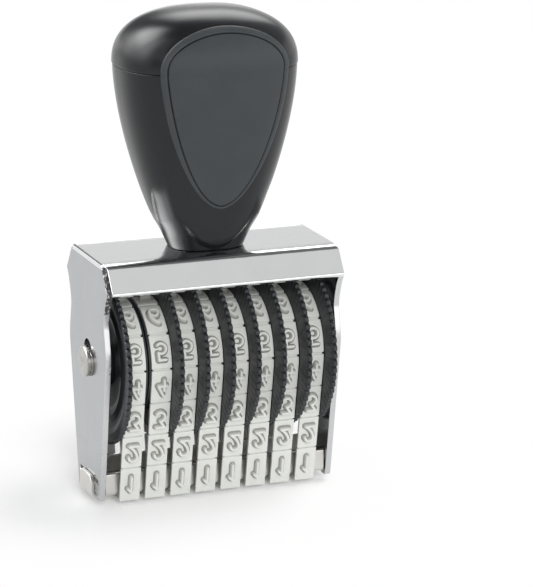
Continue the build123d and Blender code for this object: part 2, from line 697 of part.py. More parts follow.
label_room = label_pockets()
save(knob_body(label_room), "handle_body")
save(knob_cap(label_room), "handle_cap")
save(label_plate(-1), "label_plate_front")
save(label_plate(1), "label_plate_rear")
save(handle_screw(), "handle_screw")
save(handle_washer(), "handle_washer")
print(f"band length {BAND_LENGTH:.2f}, block pitch {BLOCK_PITCH:.3f}, lean {degrees(LEAN):.2f}")
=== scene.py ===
"""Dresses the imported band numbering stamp: folded chrome frame, wheels, rubber figure bands and knob.

Sizes in the classes are millimetres in the frame of the CAD model: +X to the right along the wheel
axle, +Y to the back, +Z up. A piece is turned into metres when its mesh is made.
"""
import logging
from dataclasses import dataclass, field
from enum import Enum
from math import acos, asin, atan2, cos, degrees, hypot, pi, radians, sin, tau
from typing import Any, Callable, Optional, Sequence, Union

import bmesh
import bpy
from mathutils import Matrix, Vector


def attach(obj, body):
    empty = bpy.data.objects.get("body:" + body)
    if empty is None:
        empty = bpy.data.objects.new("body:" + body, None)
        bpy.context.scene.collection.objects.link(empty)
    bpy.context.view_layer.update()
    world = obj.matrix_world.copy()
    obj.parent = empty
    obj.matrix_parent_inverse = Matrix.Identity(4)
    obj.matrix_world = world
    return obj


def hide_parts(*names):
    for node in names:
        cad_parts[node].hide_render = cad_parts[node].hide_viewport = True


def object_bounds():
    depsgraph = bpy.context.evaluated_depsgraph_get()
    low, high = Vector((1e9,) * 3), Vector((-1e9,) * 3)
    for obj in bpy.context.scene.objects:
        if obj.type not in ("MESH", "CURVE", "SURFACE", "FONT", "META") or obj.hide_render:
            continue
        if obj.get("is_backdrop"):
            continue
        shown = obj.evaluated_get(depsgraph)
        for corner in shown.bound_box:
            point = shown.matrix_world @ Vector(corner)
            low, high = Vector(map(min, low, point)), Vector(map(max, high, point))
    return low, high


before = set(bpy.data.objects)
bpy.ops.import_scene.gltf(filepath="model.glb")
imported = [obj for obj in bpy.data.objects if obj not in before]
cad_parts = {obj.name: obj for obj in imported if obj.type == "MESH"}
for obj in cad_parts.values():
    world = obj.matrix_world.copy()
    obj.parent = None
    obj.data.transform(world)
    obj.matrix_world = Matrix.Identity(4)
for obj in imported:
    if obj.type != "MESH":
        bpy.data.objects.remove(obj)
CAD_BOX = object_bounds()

log = logging.getLogger("stamp")

MM = 0.001
TINY = 1e-6
ROOT = "root"
WHITE = (1.0, 1.0, 1.0)

Colour = tuple[float, float, float]
Triple = tuple[float, float, float]
Flat = tuple[float, float]
Span = tuple[float, float]
Corner = tuple[Flat, float]
Line = tuple[Vector, Vector]
Place = Callable[[Vector], Vector]
Socket = bpy.types.NodeSocket
Mesh = bmesh.types.BMesh
Vert = bmesh.types.BMVert


class Side(Enum):
    """Left or right end of the frame, as a sign along X."""

    LEFT = -1
    RIGHT = 1


class Face(Enum):
    """Front or rear of the knob, as a sign along Y."""

    FRONT = -1
    REAR = 1


class SheetPart(Enum):
    """Part of the folded sheet with a finish of its own, as the place of that finish."""

    TOP = 0
    CUT = 1
    BROAD = 2
    EDGE = 3


def clamped(value: float) -> float:
    """A value held between 0 and 1."""
    return min(1.0, max(0.0, value))


def shaded(colour: Colour, factor: float) -> Colour:
    """A colour times a factor."""
    return tuple(factor * part for part in colour)


# ---------------------------------------------------------------- shader graph


class Signal:
    """Wraps a socket, so that arithmetic on it adds Math nodes."""

    def __init__(self, graph: "Graph", socket: Socket) -> None:
        """Keeps the socket and the graph that it belongs to."""
        self.graph = graph
        self.socket = socket

    def _math(self, operation: str, first: Any, second: Any) -> "Signal":
        """Adds one Math node.

        Args:
            operation: Name of the Math node's operation.
            first: First value or signal.
            second: Second value or signal.

        Returns:
            The node's result.
        """
        node = self.graph.node("ShaderNodeMath", {"operation": operation}, {0: first, 1: second})
        return Signal(self.graph, node.outputs[0])

    def __add__(self, other: Any) -> "Signal":
        """Sum."""
        return self._math("ADD", self, other)

    def __radd__(self, other: Any) -> "Signal":
        """Sum with a number on the left."""
        return self._math("ADD", other, self)

    def __sub__(self, other: Any) -> "Signal":
        """Difference."""
        return self._math("SUBTRACT", self, other)

    def __rsub__(self, other: Any) -> "Signal":
        """Difference from a number on the left."""
        return self._math("SUBTRACT", other, self)

    def __mul__(self, other: Any) -> "Signal":
        """Product."""
        return self._math("MULTIPLY", self, other)

    def __rmul__(self, other: Any) -> "Signal":
        """Product with a number on the left."""
        return self._math("MULTIPLY", other, self)

    def __truediv__(self, other: Any) -> "Signal":
        """Quotient."""
        return self._math("DIVIDE", self, other)

    def __pow__(self, other: Any) -> "Signal":
        """Power."""
        return self._math("POWER", self, other)

    def most(self, other: Any) -> "Signal":
        """The larger of two."""
        return self._math("MAXIMUM", self, other)

    def step(self, low: float, high: float) -> "Signal":
        """Smooth step from 0 at low to 1 at high; low may be the larger one.

        Args:
            low: Value at which the step starts.
            high: Value at which it ends.

        Returns:
            The step's result.
        """
        node = self.graph.node(
            "ShaderNodeMapRange",
            {"interpolation_type": "SMOOTHSTEP"},
            {"Value": self, "From Min": low, "From Max": high},
        )
        return Signal(self.graph, node.outputs[0])


class Graph:
    """Builds the node tree of a material or of the world."""

    nodes_per_row: int = 12
    node_width: int = 220
    node_height: int = 260

    def __init__(self, owner: Union[bpy.types.Material, bpy.types.World]) -> None:
        """Empties the owner's node tree.

        Args:
            owner: Material or world that the nodes belong to.
        """
        owner.use_nodes = True
        self.tree = owner.node_tree
        self.tree.nodes.clear()
        self.count = 0

    def node(
        self, kind: str, settings: Optional[dict] = None, inputs: Optional[dict] = None
    ) -> bpy.types.Node:
        """Adds a node of any kind.

        Args:
            kind: Blender's type name of the node.
            settings: Properties of the node, set first.
            inputs: Values, signals or sockets for its inputs, by name or place.

        Returns:
            The new node.
        """
        node = self.tree.nodes.new(kind)
        row, column = divmod(self.count, self.nodes_per_row)
        node.location = (self.node_width * column, -self.node_height * row)
        self.count += 1
        for name, value in (settings or {}).items():
            setattr(node, name, value)
        for key, value in (inputs or {}).items():
            self._feed(node.inputs[key], value)
        return node

    def _feed(self, socket: Socket, value: Any) -> None:
        """Links a signal or socket, or sets a plain value.

        Args:
            socket: Input of a node.
            value: What it gets.
        """
        if isinstance(value, Signal):
            self.tree.links.new(value.socket, socket)
        elif isinstance(value, Socket):
            self.tree.links.new(value, socket)
        elif isinstance(value, (tuple, list)) and socket.type == "RGBA" and len(value) == 3:
            socket.default_value = (*value, 1.0)
        else:
            socket.default_value = value

    def signal(self, node: bpy.types.Node, output: Union[int, str] = 0) -> Signal:
        """Output of a node as a signal."""
        return Signal(self, node.outputs[output])

    def place(self) -> Socket:
        """Place on the piece, in millimetres of the CAD frame.

        Returns:
            The place.
        """
        metres = self.node("ShaderNodeTexCoord").outputs["Object"]
        scaled = self.node("ShaderNodeVectorMath", {"operation": "SCALE"}, {0: metres, "Scale": 1 / MM})
        return scaled.outputs[0]

    def stretched(self, place: Socket, scale: Triple) -> Socket:
        """Place multiplied by a scale for each axis."""
        node = self.node("ShaderNodeVectorMath", {"operation": "MULTIPLY"}, {0: place, 1: scale})
        return node.outputs[0]

    def noise(self, place: Socket, scale: float, detail: float = 3.0, rough: float = 0.55) -> Signal:
        """Noise between 0 and 1 at a scale per millimetre."""
        inputs = {"Vector": place, "Scale": scale, "Detail": detail, "Roughness": rough}
        return self.signal(self.node("ShaderNodeTexNoise", {}, inputs))

    def mix(self, factor: Any, first: Any, second: Any) -> Socket:
        """Mixes two colours."""
        node = self.node("ShaderNodeMix", {"data_type": "RGBA"}, {"Factor": factor, 6: first, 7: second})
        return node.outputs[2]

    def bump(self, height: Signal, distance: float) -> Socket:
        """Normal from a height, with its distance in millimetres."""
        inputs = {"Height": height, "Distance": distance * MM, "Strength": 1.0}
        return self.node("ShaderNodeBump", {}, inputs).outputs[0]

    def surface(self, shader: Socket) -> None:
        """Links the finished shader to the output."""
        self.node("ShaderNodeOutputMaterial", {}, {"Surface": shader})


# ---------------------------------------------------------------- finishes


@dataclass(frozen=True)
class Finish:
    """A surface finish; each kind builds its own graph."""

    name: str
    colour: Colour
    roughness: float

    def material(self) -> bpy.types.Material:
        """The finish's material, made once.

        Returns:
            The material.
        """
        found = bpy.data.materials.get(self.name)
        if found:
            return found
        made = bpy.data.materials.new(self.name)
        graph = Graph(made)
        shader = graph.node("ShaderNodeBsdfPrincipled", {}, self.inputs(graph))
        graph.surface(shader.outputs[0])
        return made

    def inputs(self, graph: Graph) -> dict:
        """Inputs of the main shader."""
        return {"Base Color": self.colour, "Roughness": self.roughness}


@dataclass(frozen=True)
class ChromeFinish(Finish):
    """Bright plate on folded sheet, with faint smears and a slightly wavy skin."""

    smear: float = 0.05
    grain_wear: float = 0.03
    worn_tone: float = 0.93
    waviness: float = 0.04
    pit_share: float = 0.05
    grain_share: float = 0.02

    def inputs(self, graph: Graph) -> dict:
        """Bright metal, a little duller where it has been handled.

        Args:
            graph: Graph of the material.

        Returns:
            Inputs of the main shader.
        """
        place = graph.place()
        cloud = graph.noise(place, scale=0.09)
        grain = graph.noise(graph.stretched(place, (0.25, 1.0, 1.0)), scale=3.2, detail=2.0)
        swell = graph.noise(place, scale=0.35, detail=2.0)
        pits = graph.noise(place, scale=2.4, detail=2.0).step(0.58, 0.72)
        handled = cloud.step(0.3, 0.8) * 0.5 + grain * 0.2
        height = swell - pits * self.pit_share + grain * self.grain_share
        return {
            "Base Color": graph.mix(handled, self.colour, shaded(self.colour, self.worn_tone)),
            "Metallic": 1.0,
            "Roughness": self.roughness + cloud.step(0.35, 0.75) * self.smear + grain * self.grain_wear,
            "Normal": graph.bump(height, self.waviness),
        }


@dataclass(frozen=True)
class CutEdgeFinish(Finish):
    """Sheared edge of the sheet: broken streaks, darker and rougher than the plate."""

    tear_tone: float = 0.2
    tear_depth: float = 0.5
    burnish: float = 0.12

    def inputs(self, graph: Graph) -> dict:
        """Streaky metal with dark tears.

        Args:
            graph: Graph of the material.

        Returns:
            Inputs of the main shader.
        """
        streaks = graph.noise(graph.stretched(graph.place(), (0.9, 0.9, 0.35)), scale=1.9, rough=0.6)
        whole = streaks.step(0.5, 0.6)
        return {
            "Base Color": graph.mix(whole, shaded(self.colour, self.tear_tone), self.colour),
            "Metallic": 1.0,
            "Roughness": self.roughness - whole * self.burnish,
            "Normal": graph.bump(streaks, self.tear_depth),
        }


@dataclass(frozen=True)
class DullPlateFinish(Finish):
    """Dull nickel plate with soft streaks and slight tarnish."""

    stretch: Triple = (0.12, 1.0, 1.0)
    tarnish: float = 0.7
    warmth: Triple = (0.86, 0.8, 0.7)
    streak_tone: float = 0.25
    streak_wear: float = 0.12
    streak_depth: float = 0.03

    def inputs(self, graph: Graph) -> dict:
        """Warm metal with streaks.

        Args:
            graph: Graph of the material.

        Returns:
            Inputs of the main shader.
        """
        place = graph.place()
        streaks = graph.noise(graph.stretched(place, self.stretch), scale=2.2, detail=4.0, rough=0.65)
        stain = graph.noise(place, scale=0.22).step(0.45, 0.75)
        warm = tuple(part * share for part, share in zip(self.colour, self.warmth))
        dulled = stain * self.tarnish + streaks * self.streak_tone
        return {
            "Base Color": graph.mix(dulled, self.colour, warm),
            "Metallic": 1.0,
            "Roughness": self.roughness + streaks * self.streak_wear,
            "Normal": graph.bump(streaks, self.streak_depth),
        }


@dataclass(frozen=True)
class TurnedFinish(Finish):
    """Turned metal with fine rings round an axis along X at a height."""

    centre_z: float = 37.4
    ring_pitch: float = 0.16
    patch_tone: float = 0.72
    patch_wear: float = 0.12
    depth: float = 0.008

    def inputs(self, graph: Graph) -> dict:
        """Bright metal with lathe rings.

        Args:
            graph: Graph of the material.

        Returns:
            Inputs of the main shader.
        """
        place = graph.place()
        parts = graph.node("ShaderNodeSeparateXYZ", {}, {0: place})
        y = graph.signal(parts, "Y")
        z = graph.signal(parts, "Z") - self.centre_z
        radius = (y * y + z * z) ** 0.5
        x = graph.signal(parts, "X")
        turns = (radius + x) * (tau / self.ring_pitch)
        wave = graph.node("ShaderNodeMath", {"operation": "SINE"}, {0: turns})
        rings = graph.signal(wave) * 0.5 + 0.5
        patch = graph.noise(place, scale=0.9)
        dulled = patch.step(0.4, 0.75) * 0.8
        return {
            "Base Color": graph.mix(dulled, self.colour, shaded(self.colour, self.patch_tone)),
            "Metallic": 1.0,
            "Roughness": self.roughness + patch * self.patch_wear,
            "Normal": graph.bump(rings * 0.7 + patch * 0.6, self.depth),
        }


@dataclass(frozen=True)
class MouldedFinish(Finish):
    """Moulded black plastic: gloss or satin by its roughness, with a fine grain in the skin."""

    grain_scale: float = 4.0
    grain_depth: float = 0.004
    gloss: float = 0.5
    dust: float = 0.0
    dust_tone: float = 0.05
    dust_wear: float = 0.15
    cloud_tone: float = 1.12
    cloud_wear: float = 0.06
    grain_wear: float = 0.05

    def inputs(self, graph: Graph) -> dict:
        """Black plastic with slight wear.

        Args:
            graph: Graph of the material.

        Returns:
            Inputs of the main shader.
        """
        place = graph.place()
        cloud = graph.noise(place, scale=0.12)
        grain = graph.noise(place, self.grain_scale, rough=0.6)
        dust = graph.noise(place, scale=0.7, detail=4.0, rough=0.6).step(0.52, 0.85) * self.dust
        dusty = tuple(part + self.dust_tone for part in self.colour)
        tone = graph.mix(cloud.step(0.35, 0.75), self.colour, shaded(self.colour, self.cloud_tone))
        wear = cloud * self.cloud_wear + grain * self.grain_wear + dust * self.dust_wear
        return {
            "Base Color": graph.mix(dust, tone, dusty),
            "Specular IOR Level": self.gloss,
            "Roughness": self.roughness + wear,
            "Normal": graph.bump(grain + cloud * 0.5, self.grain_depth),
        }


@dataclass(frozen=True)
class RubberFinish(Finish):
    """Pale moulded rubber with real stains and painted shade: darker in its recesses and down the figures'
    walls than on the faces.
    """

    # Colour of the painted shade in the recesses, and of the real stains.
    painted_shade_and_stain: Colour = (0.19, 0.186, 0.166)
    stain_share: float = 0.5
    skin_depth: float = 0.02

    def inputs(self, graph: Graph) -> dict:
        """Matt rubber with painted shade from the shade that the mesh carries, and real stains.

        Args:
            graph: Graph of the material.

        Returns:
            Inputs of the main shader.
        """
        place = graph.place()
        relief = graph.node("ShaderNodeAttribute", {"attribute_name": "shade"})
        height = graph.signal(relief, "Fac")
        blotch = graph.noise(place, scale=0.45, detail=4.0, rough=0.6)
        speck = graph.noise(place, scale=5.5, rough=0.7)
        stain = blotch.step(0.5, 0.8) * 0.25 + speck.step(0.6, 0.8) * 0.2
        # Painted shade: the colour runs towards the dark recess colour where the mesh's shade is low.
        tone = graph.mix((1 - height) * 0.9, self.colour, self.painted_shade_and_stain)
        return {
            "Base Color": graph.mix(stain * self.stain_share, tone, self.painted_shade_and_stain),
            "Roughness": self.roughness + speck * 0.1,
            "Normal": graph.bump(speck + blotch * 0.6, self.skin_depth),
        }


@dataclass(frozen=True)
class FloorFinish(Finish):
    """Pale floor: keeps shadows near the object and runs out to the plain backdrop; distances in metres."""

    near: float = 0.03
    far: float = 0.085
    least: float = 0.25

    def material(self) -> bpy.types.Material:
        """Floor material, made once.

        Returns:
            The material.
        """
        made = bpy.data.materials.new(self.name)
        graph = Graph(made)
        place = graph.place()
        distance = graph.node("ShaderNodeVectorMath", {"operation": "LENGTH"}, {0: place})
        away = graph.signal(distance, "Value").step(self.near / MM, self.far / MM)
        rays = graph.node("ShaderNodeLightPath")
        seen = (
            graph.signal(rays, "Is Camera Ray")
            .most(graph.signal(rays, "Is Glossy Ray"))
            .most(graph.signal(rays, "Is Transmission Ray"))
        )
        matt = graph.node("ShaderNodeBsdfDiffuse", {}, {"Color": self.colour, "Roughness": self.roughness})
        backdrop = graph.node("ShaderNodeEmission", {}, {"Color": WHITE, "Strength": 1.0})
        shown = away.most(self.least) * seen
        inputs = {0: shown, 1: matt.outputs[0], 2: backdrop.outputs[0]}
        graph.surface(graph.node("ShaderNodeMixShader", {}, inputs).outputs[0])
        return made


CHROME = ChromeFinish("polished_chrome_plate", (0.775, 0.78, 0.783), 0.06)
# Darker copies of the frame's chrome for the side plates, as painted shade: much darker on the broad faces,
# which also have a satin skin, less on the edges.
SIDE_CHROME = ChromeFinish("satin_chrome_plate", (0.405, 0.42, 0.432), 0.16)
EDGE_CHROME = ChromeFinish("edge_chrome_plate", (0.6, 0.605, 0.612), 0.24)
CUT_EDGE = CutEdgeFinish("sheared_sheet_edge", (0.55, 0.55, 0.55), 0.42)
DULL_NICKEL = DullPlateFinish(
    "dull_nickel_plate", (0.66, 0.66, 0.65), 0.28, stretch=(1.0, 1.0, 0.12), tarnish=0.3
)
TURNED = TurnedFinish("turned_axle_metal", (0.47, 0.46, 0.44), 0.2)
ZINC = DullPlateFinish("zinc_plated_screw", (0.6, 0.61, 0.63), 0.3)
GLOSS_BLACK = MouldedFinish(
    "black_gloss_moulding", (0.008, 0.009, 0.0105), 0.17, grain_scale=3.0, grain_depth=0.003, gloss=0.3
)
SATIN_BLACK = MouldedFinish(
    "black_satin_moulding", (0.03, 0.034, 0.037), 0.42, grain_scale=5.0, grain_depth=0.02, gloss=0.35
)
WHEEL_BLACK = MouldedFinish(
    "black_wheel_moulding", (0.013, 0.0145, 0.017), 0.3, grain_scale=2.5, grain_depth=0.012, dust=0.3
)
RUBBER = RubberFinish("pale_band_rubber", (0.57, 0.578, 0.55), 0.62)
FLOOR = FloorFinish("pale_floor", (0.95, 0.95, 0.95), 0.0)


# ---------------------------------------------------------------- mesh making


def to_metres(mesh: Mesh) -> None:
    """Turns a mesh in millimetres into metres."""
    bmesh.ops.scale(mesh, vec=(MM, MM, MM), verts=mesh.verts)


def add_grid(mesh: Mesh, rows: Sequence[Sequence[Vector]], looped: bool = False) -> list[list[Vert]]:
    """Adds a grid of quads between rows of points; each row closes on itself.

    Args:
        mesh: Mesh to add to.
        rows: Rows of points, all of one length.
        looped: Whether the last row joins the first.

    Returns:
        The rows of new vertices.
    """
    made = [[mesh.verts.new(point) for point in row] for row in rows]
    width = len(rows[0])
    for r in range(len(rows) if looped else len(rows) - 1):
        low = made[r]
        high = made[(r + 1) % len(rows)]
        for c in range(width):
            d = (c + 1) % width
            mesh.faces.new((low[c], low[d], high[d], high[c]))
    return made


def close_ring(mesh: Mesh, ring: Sequence[Vert], tip: Optional[Vector] = None) -> None:
    """Closes a ring of vertices with a fan.

    Args:
        mesh: Mesh to add to.
        ring: Vertices of the ring, in order.
        tip: Point where the fan meets; the ring's middle if left out.
    """
    middle = tip or sum((vert.co for vert in ring), Vector()) / len(ring)
    hub = mesh.verts.new(middle)
    for index, vert in enumerate(ring):
        mesh.faces.new((vert, ring[(index + 1) % len(ring)], hub))


def close_ends(mesh: Mesh, rows: Sequence[Sequence[Vert]]) -> None:
    """Closes the first and the last ring, each with a fan about its middle."""
    close_ring(mesh, rows[0])
    close_ring(mesh, rows[-1])


def add_bar(mesh: Mesh, rows: Sequence[Sequence[Vector]], end: SheetPart = SheetPart.TOP) -> None:
    """Adds a bar through closed sections, with a flat face at each end.

    Args:
        mesh: Mesh to add to.
        rows: Points of each section.
        end: Whose finish the end faces have; the first one if left out.
    """
    made = add_grid(mesh, rows)
    for ring in (made[0], made[-1]):
        mesh.faces.new(ring).material_index = end.value


def rounded(corners: Sequence[Corner], steps: int) -> list[Flat]:
    """Closed outline with its corners rounded.

    Args:
        corners: Corners in order, each with its radius; 0 keeps it sharp.
        steps: Segments of each rounding.

    Returns:
        Points of the rounded outline.
    """
    least_bend = 0.02
    longest_share = 0.49
    out: list[Flat] = []
    for index, (corner, radius) in enumerate(corners):
        here = Vector(corner)
        before = Vector(corners[index - 1][0]) - here
        after = Vector(corners[(index + 1) % len(corners)][0]) - here
        angle = before.angle(after)
        if radius <= 0 or angle > pi - least_bend:
            out.append(tuple(here))
            continue
        tangent = abs(sin(angle / 2) / cos(angle / 2))
        shorter = min(before.length, after.length)
        reach = min(radius / max(tangent, TINY), shorter * longest_share)
        start = here + before.normalized() * reach
        end = here + after.normalized() * reach
        for step in range(steps + 1):
            t = step / steps
            bent = (1 - t) ** 2 * start + 2 * t * (1 - t) * here + t**2 * end
            out.append(tuple(bent))
    return out


def mirrored(half: Sequence[Corner], steps: int) -> list[Flat]:
    """Closed outline, the same on both sides of the upright axis, with its corners rounded.

    Args:
        half: Corners of one side in order, each with its radius.
        steps: Segments of each rounding.

    Returns:
        Points of the other side in order, then of this side backwards.
    """
    other = [((-across, height), radius) for (across, height), radius in half]
    return rounded(other + list(reversed(half)), steps)


def finish_piece(
    mesh: Mesh,
    name: str,
    finishes: Sequence[Finish],
    body: str,
    replaces: Sequence[str] = (),
    *,
    sharp_angle: float,
    flat_first: bool = False,
) -> None:
    """Makes an object of a mesh in millimetres and fixes it to its body.

    Args:
        mesh: Mesh in millimetres; it is freed.
        name: Name of the piece.
        finishes: Finishes, in the order of the faces' material places.
        body: CAD body that it rides on.
        replaces: CAD nodes that it stands for.
        sharp_angle: Angle in degrees above which an edge stays sharp.
        flat_first: Whether large flat faces keep their plain normals.
    """
    flat_weight = 80
    bmesh.ops.recalc_face_normals(mesh, faces=mesh.faces)
    to_metres(mesh)
    data = bpy.data.meshes.new(name)
    mesh.to_mesh(data)
    mesh.free()
    for finish in finishes:
        data.materials.append(finish.material())
    data.shade_smooth()
    data.set_sharp_from_angle(angle=radians(sharp_angle))
    piece = bpy.data.objects.new(name, data)
    bpy.context.scene.collection.objects.link(piece)
    if flat_first:
        weighted = piece.modifiers.new("flat_faces", "WEIGHTED_NORMAL")
        weighted.keep_sharp = True
        weighted.weight = flat_weight
    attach(piece, body)
    if replaces:
        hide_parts(*replaces)
    log.info("%s: %d points, rides on %s", name, len(data.vertices), body)


def lathe(
    mesh: Mesh,
    profile: Sequence[Flat],
    segments: int,
    centre_z: float,
    closed: bool,
    gain: Optional[Callable[[float, float], float]] = None,
) -> list[list[Vert]]:
    """Turns a profile of (x, radius) about an axis along X.

    Args:
        mesh: Mesh to add to.
        profile: Points of the profile.
        segments: Number of segments round the axis.
        centre_z: Height of the axis.
        closed: Whether the profile closes on itself, as a ring's does.
        gain: Radius from the angle and the plain radius.

    Returns:
        The rows of vertices, one per profile point.
    """
    rows = []
    for x, radius in profile:
        row = []
        for index in range(segments):
            angle = tau * index / segments
            reach = gain(angle, radius) if gain else radius
            row.append(Vector((x, reach * cos(angle), centre_z + reach * sin(angle))))
        rows.append(row)
    return add_grid(mesh, rows, looped=closed)


# ---------------------------------------------------------------- figure bands


@dataclass
class BandPath:
    """Course of a band: under the foot, round its corners, up two leaning runs, over the drum."""

    axle_height: float = 37.4
    drum_radius: float = 14.41
    foot_half_depth: float = 8.45
    corner_radius: float = 1.2
    foot_base: float = 2.65
    neutral: float = 0.65

    def __post_init__(self) -> None:
        """Works out the lengths of the path's parts."""
        self.corner_y = self.foot_half_depth - self.corner_radius
        self.corner_z = self.foot_base + self.corner_radius
        rise = self.axle_height - self.corner_z
        span = hypot(self.corner_y, rise)
        offset = self.drum_radius - self.corner_radius
        self.lean = asin(offset / span) - atan2(self.corner_y, rise)
        run = (span**2 - offset**2) ** 0.5
        self.corner_end = self.corner_y + (self.corner_radius + self.neutral) * (pi / 2 - self.lean)
        self.drum_start = self.corner_end + run
        self.length = 2 * (self.drum_start + (self.drum_radius + self.neutral) * (pi / 2 + self.lean))

    def on_drum(self, distance: float) -> bool:
        """Whether a distance lies on the drum."""
        return self.drum_start < distance % self.length < self.length - self.drum_start

    def front_run(self, distance: float, height: float) -> Flat:
        """Point (y, z) on the line of the front run.

        Args:
            distance: Distance along the band.
            height: Height over the band's inner face.

        Returns:
            The point.
        """
        along = distance - self.corner_end
        reach = self.corner_radius + height
        y = -self.corner_y - reach * cos(self.lean) - along * sin(self.lean)
        z = self.corner_z - reach * sin(self.lean) + along * cos(self.lean)
        return y, z

    def underside(self, distance: float, height: float) -> Flat:
        """Point (y, z) on the line of the underside."""
        return -distance, self.foot_base - height

    def point(self, distance: float, height: float) -> Flat:
        """Point (y, z) at a neutral distance from the middle of the foot, front first.

        Args:
            distance: Distance along the band.
            height: Height over the band's inner face.

        Returns:
            The point.
        """
        distance = distance % self.length
        if distance > self.length / 2:
            y, z = self.point(self.length - distance, height)
            return -y, z
        if distance <= self.corner_y:
            return self.underside(distance, height)
        if distance <= self.corner_end:
            turn = (distance - self.corner_y) / (self.corner_radius + self.neutral)
            reach = self.corner_radius + height
            return -self.corner_y - reach * sin(turn), self.corner_z - reach * cos(turn)
        if distance <= self.drum_start:
            return self.front_run(distance, height)
        turn = (distance - self.drum_start) / (self.drum_radius + self.neutral) - self.lean
        reach = self.drum_radius + height
        return -reach * cos(turn), self.axle_height + reach * sin(turn)


@dataclass
class FigureStrokes:
    """Centre lines of the figures, and the raised mesh that follows them."""

    height: float = 4.9
    width: float = 2.85
    stroke: float = 0.58
    pitch: float = 0.17
    draft: float = 0.5
    arc_steps: int = 16
    top_inset: float = 0.08
    margin: float = 0.6
    edge_levels: tuple[Flat, ...] = ((0.05, 0.015), (0.08, 0.05), (0.1, 0.12))
    bend: Span = (0.6, 0.75)
    root_rise: float = 0.03
    root_flare: float = 0.02
    root_depth: float = 0.3
    slack: float = 1e-4

    def arc(self, start: Flat, through: Flat, end: Flat) -> list[Flat]:
        """Points of an arc.

        Args:
            start: First point.
            through: Point that the arc passes.
            end: Last point.

        Returns:
            Points from start to end.
        """
        (ax, ay), (bx, by), (cx, cy) = start, through, end
        size = 2 * (ax * (by - cy) + bx * (cy - ay) + cx * (ay - by))
        a2, b2, c2 = ax**2 + ay**2, bx**2 + by**2, cx**2 + cy**2
        ox = (a2 * (by - cy) + b2 * (cy - ay) + c2 * (ay - by)) / size
        oy = (a2 * (cx - bx) + b2 * (ax - cx) + c2 * (bx - ax)) / size
        first = atan2(ay - oy, ax - ox)
        sweep = (atan2(cy - oy, cx - ox) - first) % tau
        if (atan2(by - oy, bx - ox) - first) % tau > sweep:
            sweep -= tau
        radius = hypot(ax - ox, ay - oy)
        turns = [first + sweep * step / self.arc_steps for step in range(self.arc_steps + 1)]
        return [(ox + radius * cos(turn), oy + radius * sin(turn)) for turn in turns]

    def lines(self, figure: str) -> list[list[Flat]]:
        """Centre lines of a figure, with its middle at the origin and its top towards +Y.

        Args:
            figure: The character.

        Returns:
            One list of points for each line.
        """
        x = (self.width - self.stroke) / 2
        y = (self.height - self.stroke) / 2
        low = x - y
        high = y - x
        waist = 0.9 * x
        crown = self.arc((-x, high), (0, y), (x, high))
        cup = self.arc((x, low), (0, -y), (-x, low))
        shapes = {
            "0": [crown + cup + [(-x, high)]],
            "1": [[(0, -y), (0, y), (-0.7 * x, y - 0.8 * x)]],
            "2": [crown + self.arc((x, high), (0.7 * x, 0), (-x, -y)) + [(x, -y)]],
            "3": [
                [(-x, y), (x, y), (-0.1 * x, 0.2 * y)],
                self.arc((-0.1 * x, 0.2 * y), (x, low), (-x, -0.8 * y)),
            ],
            "4": [[(0.3 * x, y), (-x, -0.3 * y), (x, -0.3 * y)], [(0.4 * x, 0.3 * y), (0.4 * x, -y)]],
            "5": [
                [(0.9 * x, y), (-0.8 * x, y), (-0.9 * x, 0.1 * y)],
                self.arc((-0.9 * x, 0.1 * y), (x, low), (-x, -0.8 * y)),
            ],
            "6": [
                self.arc((-x, low), (0, low + x), (x, low)),
                cup,
                self.arc((-x, low), (-0.6 * x, 0.5 * y), (0.7 * x, y)),
            ],
            "7": [[(-x, y), (x, y), (-0.4 * x, -y)]],
            "8": [
                self.arc((-waist, y - waist), (0, y), (waist, y - waist)),
                self.arc((waist, y - waist), (0, y - 2 * waist), (-waist, y - waist)),
                self.arc((-x, low), (0, low + x), (x, low)),
                cup,
            ],
            "9": [
                self.arc((-x, high), (0, high - x), (x, high)),
                self.arc((x, high), (0, y), (-x, high)),
                self.arc((x, high), (0.6 * x, -0.5 * y), (-0.7 * x, -y)),
            ],
            "/": [[(-x, -y), (x, y)]],
            ".": [[(0, -y), (0, -y + 1.5 * self.stroke)]],
            "-": [[(-x, 0), (x, 0)]],
        }
        return shapes[figure]

    @staticmethod
    def nearest(point: Vector, segments: Sequence[Line]) -> Vector:
        """Nearest place to a point on a row of segments.

        Args:
            point: The point.
            segments: Both ends of each segment.

        Returns:
            The place.
        """
        best = segments[0][0]
        shortest = (point - best).length_squared
        for start, end in segments:
            run = end - start
            share = clamped((point - start).dot(run) / run.length_squared)
            place = start + run * share
            distance = (point - place).length_squared
            if distance < shortest:
                best = place
                shortest = distance
        return best

    def segments(self, figure: str) -> list[Line]:
        """Both ends of each straight part of a figure's centre lines.

        Args:
            figure: The character.

        Returns:
            The parts, without those of no length.
        """
        lines = self.lines(figure)
        pairs = [(Vector(a), Vector(b)) for line in lines for a, b in zip(line, line[1:])]
        return [(start, end) for start, end in pairs if (end - start).length > TINY]

    def mesh(self, figure: str, face: float, relief: float) -> Mesh:
        """Raised figure about the origin in flat space, with a rounded top edge and drafted sides.

        Args:
            figure: The character.
            face: Height of the block's face.
            relief: Height of the figure over the face.

        Returns:
            Mesh whose sides run down below the face.
        """
        mesh = bmesh.new()
        outward = self.add_top(mesh, self.segments(figure), face + relief)
        self.add_sides(mesh, outward, relief)
        return mesh

